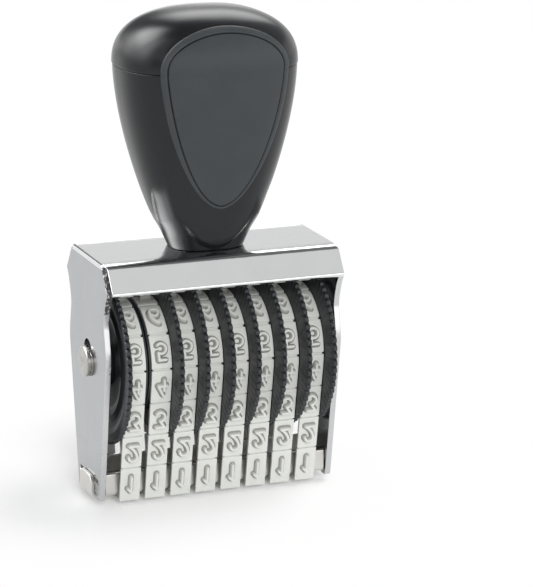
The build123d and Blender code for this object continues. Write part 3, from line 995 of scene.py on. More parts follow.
    def add_top(self, mesh: Mesh, segments: Sequence[Line], height: float) -> dict[Vert, Vector]:
        """Adds the flat top of a figure, as a grid drawn in to the edge of its strokes.

        Args:
            mesh: Mesh to add to.
            segments: Both ends of each part of the centre lines.
            height: Height of the top.

        Returns:
            Direction out of the stroke at each vertex.
        """
        reach = self.stroke / 2 - self.top_inset
        outward: dict[Vert, Vector] = {}
        grid: dict[tuple[int, int], Vert] = {}
        columns = round((self.width + self.margin) / self.pitch)
        rows = round((self.height + self.margin) / self.pitch)
        for r in range(rows + 1):
            for c in range(columns + 1):
                point = Vector(((c - columns / 2) * self.pitch, (r - rows / 2) * self.pitch))
                centre = self.nearest(point, segments)
                away = point - centre
                if away.length > reach + self.pitch:
                    continue
                if away.length > reach:
                    point = centre + away.normalized() * reach
                vert = mesh.verts.new((point.x, -point.y, height))
                grid[r, c] = vert
                direction = Vector((away.x, -away.y)).normalized()
                outward[vert] = direction if away.length > TINY else Vector((1.0, 0.0))
        for (r, c), vert in grid.items():
            corners = [vert, grid.get((r, c + 1)), grid.get((r + 1, c + 1)), grid.get((r + 1, c))]
            if None not in corners and any(self.is_inside(corner, segments, reach) for corner in corners):
                mesh.faces.new(corners)
        loose = [vert for vert in mesh.verts if not vert.link_faces]
        for vert in loose:
            del outward[vert]
        bmesh.ops.delete(mesh, geom=loose, context="VERTS")
        return outward

    def add_sides(self, mesh: Mesh, outward: dict[Vert, Vector], relief: float) -> None:
        """Adds the rounded edge and the drafted sides round a figure's top.

        Args:
            mesh: Mesh that holds the top.
            outward: Direction out of the stroke at each vertex.
            relief: Height of the figure over the block's face.
        """
        rim = [edge for edge in mesh.edges if len(edge.link_faces) == 1]
        edge_reach = self.edge_levels[-1][0]
        levels = list(self.edge_levels) + [
            (edge_reach + self.bend[0] * self.draft, self.bend[1] * relief),
            (edge_reach + self.draft, relief - self.root_rise),
            (edge_reach + self.root_flare + self.draft, relief + self.root_depth),
        ]
        chains: dict[Vert, list[Vert]] = {}
        for vert in dict.fromkeys(vert for edge in rim for vert in edge.verts):
            out = outward[vert].to_3d()
            drops = [vert.co + out * offset - Vector((0.0, 0.0, drop)) for offset, drop in levels]
            chains[vert] = [vert] + [mesh.verts.new(place) for place in drops]
        for edge in rim:
            first, second = (chains[vert] for vert in edge.verts)
            for level in range(len(levels)):
                mesh.faces.new((first[level], second[level], second[level + 1], first[level + 1]))

    def is_inside(self, vert: Vert, segments: Sequence[Line], reach: float) -> bool:
        """Whether a vertex lies well inside the stroke."""
        point = Vector((vert.co.x, -vert.co.y))
        return (point - self.nearest(point, segments)).length < reach - self.slack


@dataclass
class FigureBands:
    """Eight endless rubber bands, each one moulding of strip, blocks and raised figures."""

    path: BandPath
    count: int = 8
    pitch: float = 7.0
    strip_thick: float = 1.2
    strip_width: float = 4.65
    strip_round: float = 0.12
    block_width: float = 5.45
    block_face: float = 1.5
    block_gap: float = 0.35
    block_round: float = 0.14
    first_gap: float = 8.27
    front_drop: float = 0.7
    relief: float = 1.15
    strokes: FigureStrokes = field(default_factory=FigureStrokes)
    cut_pitch: float = 0.75
    strip_steps: int = 220
    heel: float = 0.75
    # Painted shade for the rubber's colour: a little darker on the strip in the gaps, darker down the blocks'
    # sides, darkest at the foot of the figures' walls.
    strip_shade: float = 0.8
    block_shade: float = 0.6
    figure_shade: float = 0.1
    shade_start: float = 0.35
    shade_margin: float = 0.05
    figures: str = "0123456789-/. -"

    def __post_init__(self) -> None:
        """Works out the pitch of the blocks along the band."""
        self.block_pitch = self.path.length / len(self.figures)

    def flat_box(self, mesh: Mesh, start: float, end: float) -> None:
        """Adds one block in flat space (x, distance, height) with its edges rounded.

        Args:
            mesh: Mesh to add to.
            start: Distance at which the block starts.
            end: Distance at which it ends.
        """
        low = self.strip_thick / 2
        high = self.block_face
        made = bmesh.ops.create_cube(mesh, size=1.0)["verts"]
        for vert in made:
            vert.co.x *= self.block_width
            vert.co.y = (start + end) / 2 + vert.co.y * (end - start)
            vert.co.z = (low + high) / 2 + vert.co.z * (high - low)
        edges = list({edge for vert in made for edge in vert.link_edges})
        rounding = {"offset": self.block_round, "segments": 2, "profile": 0.5}
        bmesh.ops.bevel(mesh, geom=edges, affect="EDGES", clamp_overlap=True, **rounding)

    def cut_across(self, mesh: Mesh, start: float, end: float) -> None:
        """Cuts the mesh across at even distances, so that it bends smoothly.

        Args:
            mesh: Mesh to cut.
            start: Distance at which it starts.
            end: Distance at which it ends.
        """
        cuts = max(1, round((end - start) / self.cut_pitch))
        for index in range(1, cuts):
            distance = start + (end - start) * index / cuts
            parts = [*mesh.verts, *mesh.edges, *mesh.faces]
            plane = {"plane_co": (0, distance, 0), "plane_no": (0, 1, 0)}
            bmesh.ops.bisect_plane(mesh, geom=parts, dist=1e-5, **plane)

    def block_place(self, index: int) -> Place:
        """How a block's flat space lies in the CAD frame.

        Args:
            index: Number of the block, from 0 for the one under the foot.

        Returns:
            Function from a flat point to its place.
        """
        middle = self.first_gap + (index - 0.5) * self.block_pitch
        bent = self.path.on_drum(middle)
        follow = {0: self.path.underside, 1: self.path.front_run}.get(index, self.path.point)

        def place(point: Vector) -> Vector:
            """Place of a flat point; a block on the drum spreads with its height.

            Args:
                point: Point in flat space.

            Returns:
                The place.
            """
            distance = point.y
            if bent:
                shrink = (self.path.drum_radius + self.path.neutral) / (self.path.drum_radius + point.z)
                distance = middle + (distance - middle) * shrink
            y, z = follow(distance, point.z)
            return Vector((point.x, y, z))

        return place

    def prototype(self) -> tuple[list[Vector], list[list[int]], list[float]]:
        """One band about x = 0.

        Returns:
            Its points, faces and the shade at each point, from 0 in the recesses to 1 on the faces.
        """
        points: list[Vector] = []
        faces: list[list[int]] = []
        shades: list[float] = []

        def take(mesh: Mesh, place: Place, deep: float, low: float, high: float) -> None:
            """Takes over a flat mesh, with painted shade from deep at height low up to 1 at height high.

            Args:
                mesh: The mesh; it is freed.
                place: How its flat space lies.
                deep: Painted shade up to the low height.
                low: Height at which the shade starts to grow.
                high: Height at which it is full.
            """
            base = len(points)
            mesh.verts.index_update()
            for vert in mesh.verts:
                points.append(place(vert.co))
                shades.append(deep + (1 - deep) * clamped((vert.co.z - low) / (high - low)))
            for face in mesh.faces:
                faces.append([base + vert.index for vert in face.verts])
            mesh.free()

        top = self.block_face
        # Each piece gets painted shade: the strip a little, the blocks down their sides, the figures down
        # their walls.
        take(self.strip(), self.strip_place, self.strip_shade, 0.0, self.strip_thick * 2)
        for index, figure in enumerate(self.figures):
            start = self.first_gap + (index - 1) * self.block_pitch + self.block_gap / 2
            end = start + self.block_pitch - self.block_gap
            if index == 0:
                end = self.first_gap + self.heel
            if index == 1:
                start -= self.front_drop
            place = self.block_place(index)
            block = bmesh.new()
            self.flat_box(block, start, end)
            self.cut_across(block, start, end)
            take(block, place, self.block_shade, self.strip_thick / 2, top - self.block_round)
            if figure == " ":
                continue
            raised = self.strokes.mesh(figure, top, self.relief)
            middle = self.first_gap + (index - 0.5) * self.block_pitch
            bmesh.ops.translate(raised, vec=(0, middle, 0), verts=raised.verts)
            # The figures' walls get the darkest painted shade, from their foot up to near their top.
            dark_to = top + self.shade_start * self.relief
            take(raised, place, self.figure_shade, dark_to, top + self.relief - self.shade_margin)
        return points, faces, shades

    def strip(self) -> Mesh:
        """The narrow strip in flat space, once round the path.

        Returns:
            Its mesh.
        """
        mesh = bmesh.new()
        half = self.strip_width / 2
        thick = self.strip_thick
        corners = [(-half, 0.0), (half, 0.0), (half, thick), (-half, thick)]
        section = rounded([(corner, self.strip_round) for corner in corners], 2)
        rows = []
        for index in range(self.strip_steps):
            distance = self.path.length * index / self.strip_steps
            rows.append([Vector((x, distance, height)) for x, height in section])
        add_grid(mesh, rows, looped=True)
        return mesh

    def strip_place(self, point: Vector) -> Vector:
        """Place of a flat point of the strip."""
        y, z = self.path.point(point.y, point.z)
        return Vector((point.x, y, z))

    def build(self) -> None:
        """Makes the eight bands."""
        points, faces, shades = self.prototype()
        for number in range(1, self.count + 1):
            centre = (number - (self.count + 1) / 2) * self.pitch
            mesh = bmesh.new()
            # The painted shade reaches the rubber's colour through this attribute.
            layer = mesh.verts.layers.float.new("shade")
            verts = []
            for point, shade in zip(points, shades):
                vert = mesh.verts.new((point.x + centre, point.y, point.z))
                vert[layer] = shade
                verts.append(vert)
            for face in faces:
                mesh.faces.new([verts[index] for index in face])
            name = f"figure_band_{number}"
            node = f"band_{number}"
            finish_piece(mesh, name, [RUBBER], ROOT, [node], sharp_angle=40.0, flat_first=True)


# ---------------------------------------------------------------- wheels and axle


@dataclass
class FigureWheels:
    """Eight moulded wheels on one axle, each with one knurled flange."""

    count: int = 8
    pitch: float = 7.0
    axle_height: float = 37.4
    bore: float = 3.05
    hub: float = 7.0
    drum: float = 14.1
    cheek: float = 15.6
    cheek_start: float = -3.325
    cheek_thick: float = 0.45
    web_start: float = 2.875
    web_end: float = 3.525
    pocket_radius: float = 12.8
    pocket_floor: float = 3.1
    rim_inner: float = 17.9
    rim_end: float = 4.125
    radius: float = 22.25
    knurl_depth: float = 0.85
    knurl_height: float = 2.0
    tooth_round: float = 0.75
    teeth: int = 66
    steps_per_tooth: int = 8

    def profile(self) -> list[Flat]:
        """Closed profile of (x, radius), from the bore's left end round to its right end.

        Returns:
            Points of the profile.
        """
        left = self.cheek_start
        right = self.web_end
        step = left + self.cheek_thick
        corners = [
            ((left, self.bore), 0.1),
            ((left, self.cheek), 0.12),
            ((step, self.cheek), 0.12),
            ((step, self.drum), 0.3),
            ((self.web_start, self.drum), 0.3),
            ((self.web_start, self.radius), 0.5),
            ((self.rim_end, self.radius), 0.5),
            ((self.rim_end, self.rim_inner + 1.6), 0.6),
            ((right + 0.1, self.rim_inner), 0.8),
            ((right, self.rim_inner - 1.2), 0.8),
            ((right + 0.35, self.pocket_radius + 2.1), 0.8),
            ((right, self.pocket_radius + 0.6), 0.5),
            ((right - 0.3, self.pocket_radius), 0.25),
            ((self.pocket_floor, self.pocket_radius - 0.4), 0.5),
            ((self.pocket_floor, self.hub + 0.3), 0.5),
            ((right, self.hub), 0.2),
            ((right, self.bore), 0.1),
        ]
        return rounded(corners, 3)

    def gain(self, angle: float, radius: float) -> float:
        """Radius with the knurl's round teeth cut into the rim.

        Args:
            angle: Angle round the axle.
            radius: Radius without teeth.

        Returns:
            The radius.
        """
        base = self.radius - self.knurl_height
        if radius <= base:
            return radius
        share = (radius - base) / (self.radius - base)
        wave = abs(sin(angle * self.teeth / 2))
        return radius - self.knurl_depth * share**2 * (1 - wave**self.tooth_round)

    def build(self) -> None:
        """Makes the wheels, each riding on its own body."""
        profile = self.profile()
        for number in range(1, self.count + 1):
            centre = (number - (self.count + 1) / 2) * self.pitch
            turned = -1 if number == 1 else 1
            mesh = bmesh.new()
            placed = [(centre + turned * x, r) for x, r in profile]
            lathe(mesh, placed, self.teeth * self.steps_per_tooth, self.axle_height, True, self.gain)
            name = f"knurled_wheel_{number}"
            body = f"figure_wheel_{number}"
            node = f"wheel_{number}"
            finish_piece(mesh, name, [WHEEL_BLACK], body, [node], sharp_angle=50.0)


@dataclass
class Axle:
    """Axle with its turned head, and the cap on the other end."""

    height: float = 37.4
    frame_half: float = 32.0
    skin: float = 0.05
    radius: float = 3.0
    rod_chamfer: float = 0.2
    head: float = 4.05
    head_thick: float = 1.74
    groove: float = 0.6
    groove_width: float = 0.32
    groove_depth: float = 0.35
    tip: float = 0.02
    segments: int = 96

    def head_profile(self) -> list[Flat]:
        """Outer profile of a head: distance out from the plate, and radius.

        Returns:
            Points from the plate round to the middle of the head's dimpled face.
        """
        head = self.head
        thick = self.head_thick
        groove_end = self.groove + self.groove_width
        bottom = head - self.groove_depth
        return [
            (0.0, head - 0.1),
            (0.08, head),
            (self.groove, head),
            (self.groove + 0.06, bottom),
            (groove_end - 0.06, bottom),
            (groove_end, head),
            (thick - 0.32, head),
            (thick - 0.16, head - 0.1),
            (thick - 0.05, head - 0.28),
            (thick, head - 0.6),
            (thick - 0.06, head * 0.5),
            (thick - 0.14, 0.7),
            (thick - 0.3, 0.35),
            (thick - 0.42, self.tip),
        ]

    def build_turned(self, name: str, profile: Sequence[Flat], node: str) -> None:
        """Makes one turned piece.

        Args:
            name: Its name.
            profile: Its profile as (x, radius).
            node: CAD node that it stands for.
        """
        mesh = bmesh.new()
        close_ends(mesh, lathe(mesh, profile, self.segments, self.height, closed=False))
        finish_piece(mesh, name, [TURNED], ROOT, [node], sharp_angle=30.0)

    def build(self) -> None:
        """Makes the axle with its head on the left, and the end cap on the right."""
        base = self.frame_half + self.skin
        head = self.head_profile()
        outside = [(-base - x, r) for x, r in reversed(head)]
        rod = [
            (-base, self.radius),
            (base - 0.3, self.radius),
            (base - 0.1, self.radius - self.rod_chamfer),
            (base, self.tip),
        ]
        self.build_turned("axle_with_head", outside + rod, "axle_pin")
        cap = [(base, self.tip)] + [(base + x, r) for x, r in head]
        self.build_turned("axle_cap", cap, "axle_end_cap")


# ---------------------------------------------------------------- folded frame


@dataclass
class FoldedFrame:
    """Top, skirts and side plates folded from one sheet."""

    sheet: float = 1.6
    half_width: float = 32.4
    skirt_left: float = 31.2
    skirt_right: float = 32.15
    top_outside: float = 65.8
    top_half_depth: float = 13.05
    skirt_half_depth: float = 17.85
    skirt_bottom: float = 58.85
    fold_radius: float = 3.0
    skirt_round: float = 1.1
    bow_start: float = 8.8
    bow_drop: float = 0.16
    side_fold_radius: float = 0.7
    set_back: float = 1.0
    edge_round: float = 0.2
    seam: float = 0.25
    torn_from: float = 53.2
    slot_radius: float = 3.4
    slot_rise: float = 2.5
    proud: float = 0.015
    axle_height: float = 37.4
    toe_height: float = 1.5
    toe_half_depth: float = 8.7
    toe_radius: float = 1.2
    notch_half: float = 5.7
    notch_top: float = 5.7
    relief_width: float = 2.0
    relief_height: float = 1.3
    slot_steps: int = 48
    fold_steps: int = 8
    roof_rim: float = 0.28
    knot_steps: int = 5
    plate_gap: float = 0.2
    skirt_margin: float = 1.0
    fold_margin: float = 1.05
    cut_margin: float = 1.3
    cut_from: float = 0.25
    cut_fade: float = 0.5
    weld: float = 1e-4
    broad_normal: float = 0.95

    def __post_init__(self) -> None:
        """Works out how the skirts lean."""
        out = self.skirt_half_depth - self.top_half_depth
        down = self.top_outside - self.skirt_bottom
        self.lean = out / down
        self.slope = atan2(out, down)

    def edge_line(self) -> list[Flat]:
        """Curved front edge of a side plate from the skirt down to the toe, as (depth, height).

        Returns:
            Points of the edge.
        """
        knots = [
            (16.3, 57.7),
            (15.45, 56.2),
            (14.5, 53.8),
            (13.9, 51.8),
            (13.6, 49.9),
            (13.95, 47.9),
            (14.5, 45.4),
            (14.95, 43.0),
            (15.1, 41.2),
            (15.0, 39.4),
            (14.65, 37.4),
        ]
        line = []
        for index in range(len(knots) - 1):
            before = Vector(knots[max(index - 1, 0)])
            start = Vector(knots[index])
            end = Vector(knots[index + 1])
            after = Vector(knots[min(index + 2, len(knots) - 1)])
            for step in range(self.knot_steps):
                t = step / self.knot_steps
                point = 0.5 * (
                    2 * start
                    + (end - before) * t
                    + (2 * before - 5 * start + 4 * end - after) * t**2
                    + (3 * start - before - 3 * end + after) * t**3
                )
                line.append((point.x, point.y))
        line.append(knots[-1])
        return line

    def slanted(self, z: float) -> float:
        """Depth of a side plate's slanted edge, set back behind the skirt's face, at a height."""
        return self.top_half_depth + (self.top_outside - z) * self.lean - self.set_back

    def plate_outline(self) -> list[Flat]:
        """Outline of a side plate as (y, z), in order round it, with its corners rounded.

        Returns:
            Points of the outline.
        """
        nose = self.skirt_bottom - self.seam
        top = self.top_outside - self.side_fold_radius - self.plate_gap
        cut = self.notch_half + self.relief_width
        half = [((self.slanted(top), top), 0.4), ((self.slanted(nose), nose), 0.5)]
        half += [(point, 0.0) for point in self.edge_line()]
        half += [
            ((self.toe_half_depth, self.toe_height), self.toe_radius),
            ((self.notch_half, self.toe_height), 0.5),
            ((self.notch_half, self.notch_top), 0.5),
            ((cut, self.notch_top), 0.6),
            ((cut, self.notch_top + self.relief_height), 0.5),
        ]
        return mirrored(half, 6)

    def plate_curve(self) -> bpy.types.Curve:
        """Curve of the side plate with its axle slot, filled and with rounded edges.

        Returns:
            The curve, flat in its own plane.
        """
        curve = bpy.data.curves.new("plate", "CURVE")
        curve.dimensions = "2D"
        curve.fill_mode = "BOTH"
        slot = []
        for index in range(self.slot_steps):
            angle = tau * index / self.slot_steps
            centre = self.axle_height + (self.slot_rise if sin(angle) > 0 else 0.0)
            slot.append((self.slot_radius * cos(angle), centre + self.slot_radius * sin(angle)))
        for outline in (self.plate_outline(), slot):
            spline = curve.splines.new("POLY")
            spline.points.add(len(outline) - 1)
            for point, (y, z) in zip(spline.points, outline):
                point.co = (y, z, 0.0, 1.0)
            spline.use_cyclic_u = True
        curve.extrude = self.sheet / 2 - self.edge_round
        curve.bevel_depth = self.edge_round
        curve.bevel_resolution = 4
        curve.offset = -self.edge_round
        return curve

    def add_plate(self, mesh: Mesh, side: Side) -> None:
        """Adds one side plate: broad faces and edges in darker copies of the chrome as painted shade, and a
        torn edge beside the left skirts.

        Args:
            mesh: Mesh to add to.
            side: Side of the frame.
        """
        curve = self.plate_curve()
        helper = bpy.data.objects.new("plate", curve)
        bpy.context.scene.collection.objects.link(helper)
        bpy.context.view_layer.update()
        solved = helper.evaluated_get(bpy.context.evaluated_depsgraph_get())
        made = bpy.data.meshes.new_from_object(solved)
        plate = bmesh.new()
        plate.from_mesh(made)
        bpy.data.objects.remove(helper)
        bpy.data.curves.remove(curve)
        bpy.data.meshes.remove(made)
        bmesh.ops.remove_doubles(plate, verts=plate.verts, dist=self.weld)
        middle = self.half_width - self.sheet / 2 - self.proud
        plate.verts.index_update()
        made_verts = []
        for vert in plate.verts:
            across, up, out = vert.co
            made_verts.append(mesh.verts.new((side.value * (middle + out), across, up)))
        for face in plate.faces:
            added = mesh.faces.new([made_verts[v.index] for v in face.verts])
            part = SheetPart.EDGE
            if side is Side.LEFT and face.calc_center_median().y > self.torn_from:
                part = SheetPart.CUT
            # Broad faces take the darkest copy of the chrome, painted shade.
            if abs(face.normal.z) > self.broad_normal:
                part = SheetPart.BROAD
            added.material_index = part.value
        plate.free()

    def roof_section(self) -> list[Flat]:
        """Closed section of the top and its skirts as (y, z).

        Returns:
            Points of the section.
        """
        shift_y = self.sheet * cos(self.slope)
        shift_z = self.sheet * sin(self.slope)
        bend = self.sheet * (1 - sin(self.slope)) / cos(self.slope)
        drop = self.bow_drop
        span = self.top_half_depth - self.bow_start
        half = []
        for share in (0.0, 0.15, 0.3, 0.42):
            half.append(((self.bow_start + span * share, self.top_outside - drop * share**2), 0.0))
        half += [
            ((self.top_half_depth + drop * self.lean, self.top_outside - drop), self.fold_radius),
            ((self.skirt_half_depth, self.skirt_bottom), self.skirt_round),
            ((self.skirt_half_depth - shift_y, self.skirt_bottom - shift_z), 0.45),
            ((self.top_half_depth - bend, self.top_outside - self.sheet), 0.3),
        ]
        return mirrored(half, 6)

    def roof_end(self, side: Side, y: float, z: float) -> float:
        """How far from the middle the roof reaches on a side, at a point of its section.

        Args:
            side: Side of the frame.
            y: Depth of the point.
            z: Its height.

        Returns:
            The reach along X.
        """
        fold_start = self.half_width - self.side_fold_radius
        if abs(y) < self.top_half_depth - self.cut_margin:
            return fold_start
        share = clamped((self.top_outside - self.cut_from - z) / self.cut_fade)
        skirt_end = self.skirt_left if side is Side.LEFT else self.skirt_right
        return fold_start + (skirt_end - fold_start) * share

    def roof_rows(self, side: Side) -> list[list[Vector]]:
        """Rows of the roof's rounded end on a side, from the end inwards.

        Args:
            side: Side of the frame.

        Returns:
            The rows of points.
        """
        section = self.roof_section()
        rim = self.roof_rim
        normal = Vector((cos(self.slope), sin(self.slope)))
        rows = []
        for inset, drop in ((0.0, 0.0), (0.6, 0.12), (0.88, 0.4), (1.0, 1.0)):
            row = []
            for y, z in section:
                sign = 1 if y > 0 else -1
                across = (abs(y) - self.skirt_half_depth) * normal.x + (z - self.skirt_bottom) * normal.y
                pull = 0.0 if abs(y) < self.top_half_depth - self.skirt_margin else 1.0
                shift = rim * (1 - inset) * pull * (1 if across < -self.sheet / 2 else -1)
                x = side.value * (self.roof_end(side, y, z) - rim * drop)
                row.append(Vector((x, y + sign * normal.x * shift, z + normal.y * shift)))
            rows.append(row)
        return rows

    def add_roof(self, mesh: Mesh) -> None:
        """Adds the top with its skirts; the skirts' ends are cut, the top's run into the side folds."""
        rows = self.roof_rows(Side.LEFT) + list(reversed(self.roof_rows(Side.RIGHT)))
        add_bar(mesh, rows, SheetPart.CUT)

    def add_side_fold(self, mesh: Mesh, side: Side) -> None:
        """Adds the rounded fold between the top and a side plate.

        Args:
            mesh: Mesh to add to.
            side: Side of the frame.
        """
        radius = self.side_fold_radius
        tail = 0.5
        lap = 0.4
        centre_x = self.half_width - radius
        centre_z = self.top_outside - radius
        reach = self.top_half_depth - self.fold_margin
        section = []
        for step in range(self.fold_steps + 1):
            angle = pi / 2 * (1 - step / self.fold_steps)
            section.append((centre_x + radius * cos(angle), centre_z + radius * sin(angle)))
        section.append((self.half_width, centre_z - tail))
        section.append((self.half_width - self.sheet + self.proud, centre_z - tail))
        section.append((centre_x - lap, self.top_outside - lap))
        half = [(-reach, 0.3), (0.1 - reach, 0.1), (0.3 - reach, 0.0)]
        rows = []
        for y, shrink in half + [(-y, shrink) for y, shrink in reversed(half)]:
            row = []
            for x, z in section:
                out = Vector((x - centre_x, z - centre_z))
                if out.length > radius * 0.9 and z > centre_z - 0.1:
                    out *= 1 - shrink / out.length
                row.append(Vector((side.value * (centre_x + out.x), y, centre_z + out.y)))
            rows.append(row)
        add_bar(mesh, rows)

    def build(self) -> None:
        """Makes the frame as one piece."""
        mesh = bmesh.new()
        self.add_roof(mesh)
        for side in Side:
            self.add_plate(mesh, side)
            self.add_side_fold(mesh, side)
        finish_piece(
            mesh,
            "folded_frame",
            [CHROME, CUT_EDGE, SIDE_CHROME, EDGE_CHROME],
            ROOT,
            ["frame_shell"],
            sharp_angle=32.0,
            flat_first=True,
        )


# ---------------------------------------------------------------- foot


@dataclass
class FootChannel:
    """Channel that the bands run round under the wheels, with a tab folded up over each side plate."""

    half_length: float = 30.5
    half_depth: float = 8.4
    base: float = 2.7
    wall_top: float = 8.7
    sheet: float = 1.4
    corner: float = 1.15
    rim: float = 0.45
    tab_start: float = 30.0
    tab_inside: float = 32.45
    tab_outside: float = 33.35
    tab_low: float = 1.6
    tab_top: float = 7.4
    tab_half_width: float = 4.9
    tab_corner: float = 1.5
    tab_knee: float = 1.2
    steps: int = 24

    def section(self) -> list[Flat]:
        """Closed section of the channel as (y, z).

        Returns:
            Points of the section.
        """
        outer = -self.half_depth
        inner = outer + self.sheet
        half = [
            ((outer, self.base), self.corner),
            ((outer, self.wall_top), self.rim),
            ((inner, self.wall_top), self.rim),
            ((inner, self.base + self.sheet), self.rim),
        ]
        return mirrored(half, 5)

    def tab_section(self, y: float, inset: float) -> list[Flat]:
        """Closed section of a tab as (x, z) at a place across it.

        Args:
            y: Place across the tab.
            inset: How far its outline is drawn in.

        Returns:
            Points of the section.
        """
        cut = max(0.0, abs(y) - (self.tab_half_width - self.tab_corner))
        top = self.tab_top - cut - inset
        low = self.tab_low + inset
        bend = low + self.sheet - 2 * inset
        corners = [
            ((self.tab_start, low), 0.1),
            ((self.tab_outside - inset, low), self.tab_knee),
            ((self.tab_outside - inset, top), 0.3),
            ((self.tab_inside + inset, top), 0.2),
            ((self.tab_inside + inset, bend), 0.3),
            ((self.tab_start, bend), 0.1),
        ]
        return rounded(corners, 5)

    def add_tab(self, mesh: Mesh, side: Side) -> None:
        """Adds one tab.

        Args:
            mesh: Mesh to add to.
            side: Side of the stamp.
        """
        half = self.tab_half_width
        knee = half - self.tab_corner
        edge = [(-half, 0.15), (0.05 - half, 0.05), (0.15 - half, 0.0), (-knee, 0.0), (-knee / 3, 0.0)]
        rows = []
        for y, inset in edge + [(-y, inset) for y, inset in reversed(edge)]:
            rows.append([Vector((side.value * x, y, z)) for x, z in self.tab_section(y, inset)])
        add_bar(mesh, rows)

    def build(self) -> None:
        """Makes the channel with its tabs."""
        mesh = bmesh.new()
        section = self.section()
        rows = []
        for index in range(self.steps + 1):
            x = self.half_length * (2 * index / self.steps - 1)
            rows.append([Vector((x, y, z)) for y, z in section])
        add_bar(mesh, rows)
        for side in Side:
            self.add_tab(mesh, side)
        finish_piece(
            mesh,
            "foot_with_tabs",
            [DULL_NICKEL],
            ROOT,
            ["foot_channel"],
            sharp_angle=32.0,
            flat_first=True,
        )


# ---------------------------------------------------------------- knob


@dataclass
class KnobShape:
    """Outer skin of the knob, and points on it."""

    base: float = 65.8
    seam: float = 113.9
    base_half: float = 10.6
    seam_half: float = 23.45
    swell: float = 1.65
    depth_share: float = 0.81
    squareness: float = 2.5
    cap_height: float = 14.6
    overhang: float = 0.2
    cap_roundness: float = 2.4

    def half_width(self, z: float, cap: bool) -> float:
        """Half width of the skin at a height.

        Args:
            z: Height.
            cap: Whether it is the cap's skin, not the body's.

        Returns:
            The half width.
        """
        if not cap:
            share = clamped((z - self.base) / (self.seam - self.base))
            return self.seam_half - (self.seam_half - self.base_half) * (1 - share) ** self.swell
        share = clamped((z - self.seam) / self.cap_height)
        power = self.cap_roundness
        return (self.seam_half + self.overhang) * (1 - share**power) ** (1 / power)

    def front(self, x: float, z: float) -> float:
        """Depth of the front or rear skin from the middle.

        Args:
            x: Place across the knob.
            z: Height.

        Returns:
            The depth.
        """
        half = self.half_width(z, z > self.seam)
        share = min(0.999, abs(x) / max(half, TINY))
        return self.depth_share * half * (1 - share**self.squareness) ** (1 / self.squareness)

    def on_face(self, x: float, z: float, lift: float, face: Face) -> Vector:
        """Point on the front or rear face, lifted along the skin's normal.

        Args:
            x: Place across the knob.
            z: Height.
            lift: How far the point stands off the skin.
            face: Front or rear.

        Returns:
            The point.
        """
        step = 0.05
        depth = self.front(x, z)
        slope_x = (self.front(x + step, z) - self.front(x - step, z)) / (2 * step)
        slope_z = (self.front(x, z + step) - self.front(x, z - step)) / (2 * step)
        normal = Vector((-slope_x, 1.0, -slope_z)).normalized()
        return Vector((x + normal.x * lift, face.value * (depth + normal.y * lift), z + normal.z * lift))


@dataclass
class LabelEgg:
    """Egg-shaped outline of the label plates, in (x, z)."""

    half: float = 15.5
    wide_z: float = 114.5
    top_z: float = 123.6
    bottom_z: float = 78.7
    swell: float = 1.46
    taper: float = 0.55
    crown_scale: float = 12.0
    flank_scale: float = 0.85

    def lower_half(self, share: float) -> float:
        """Half width below the widest place, by the share of the way down to the bottom."""
        return self.half * max(0.0, 1 - share**self.swell) ** self.taper

    def place(self, turn: float) -> Vector:
        """Point of the outline at a turn from its right side, anticlockwise.

        Args:
            turn: The turn in radians.

        Returns:
            The point as (x, z).
        """
        if sin(turn) >= 0:
            return Vector((self.half * cos(turn), self.wide_z + (self.top_z - self.wide_z) * sin(turn)))
        x = self.lower_half(-sin(turn)) * (1 if cos(turn) > 0 else -1)
        return Vector((x, self.wide_z + sin(turn) * (self.wide_z - self.bottom_z)))

    def moved(self, turn: float, offset: float) -> Vector:
        """Point of the outline at a turn, moved outwards by an offset."""
        ahead = self.place(turn + 0.01) - self.place(turn - 0.01)
        return self.place(turn) + Vector((ahead.y, -ahead.x)).normalized() * offset

    def outline(self, offset: float, steps: int) -> list[Vector]:
        """Points of the outline moved outwards by an offset, anticlockwise from its right."""
        return [self.moved(tau * index / steps, offset) for index in range(steps)]

    def distance(self, x: float, z: float) -> float:
        """Rough distance from the outline, positive outside.

        Args:
            x: Place across the knob.
            z: Height.

        Returns:
            The distance.
        """
        if z >= self.wide_z:
            reach = hypot(x / self.half, (z - self.wide_z) / (self.top_z - self.wide_z))
            return (reach - 1) * self.crown_scale
        if z < self.bottom_z:
            return hypot(x, z - self.bottom_z)
        share = (self.wide_z - z) / (self.wide_z - self.bottom_z)
        return (abs(x) - self.lower_half(share)) * self.flank_scale


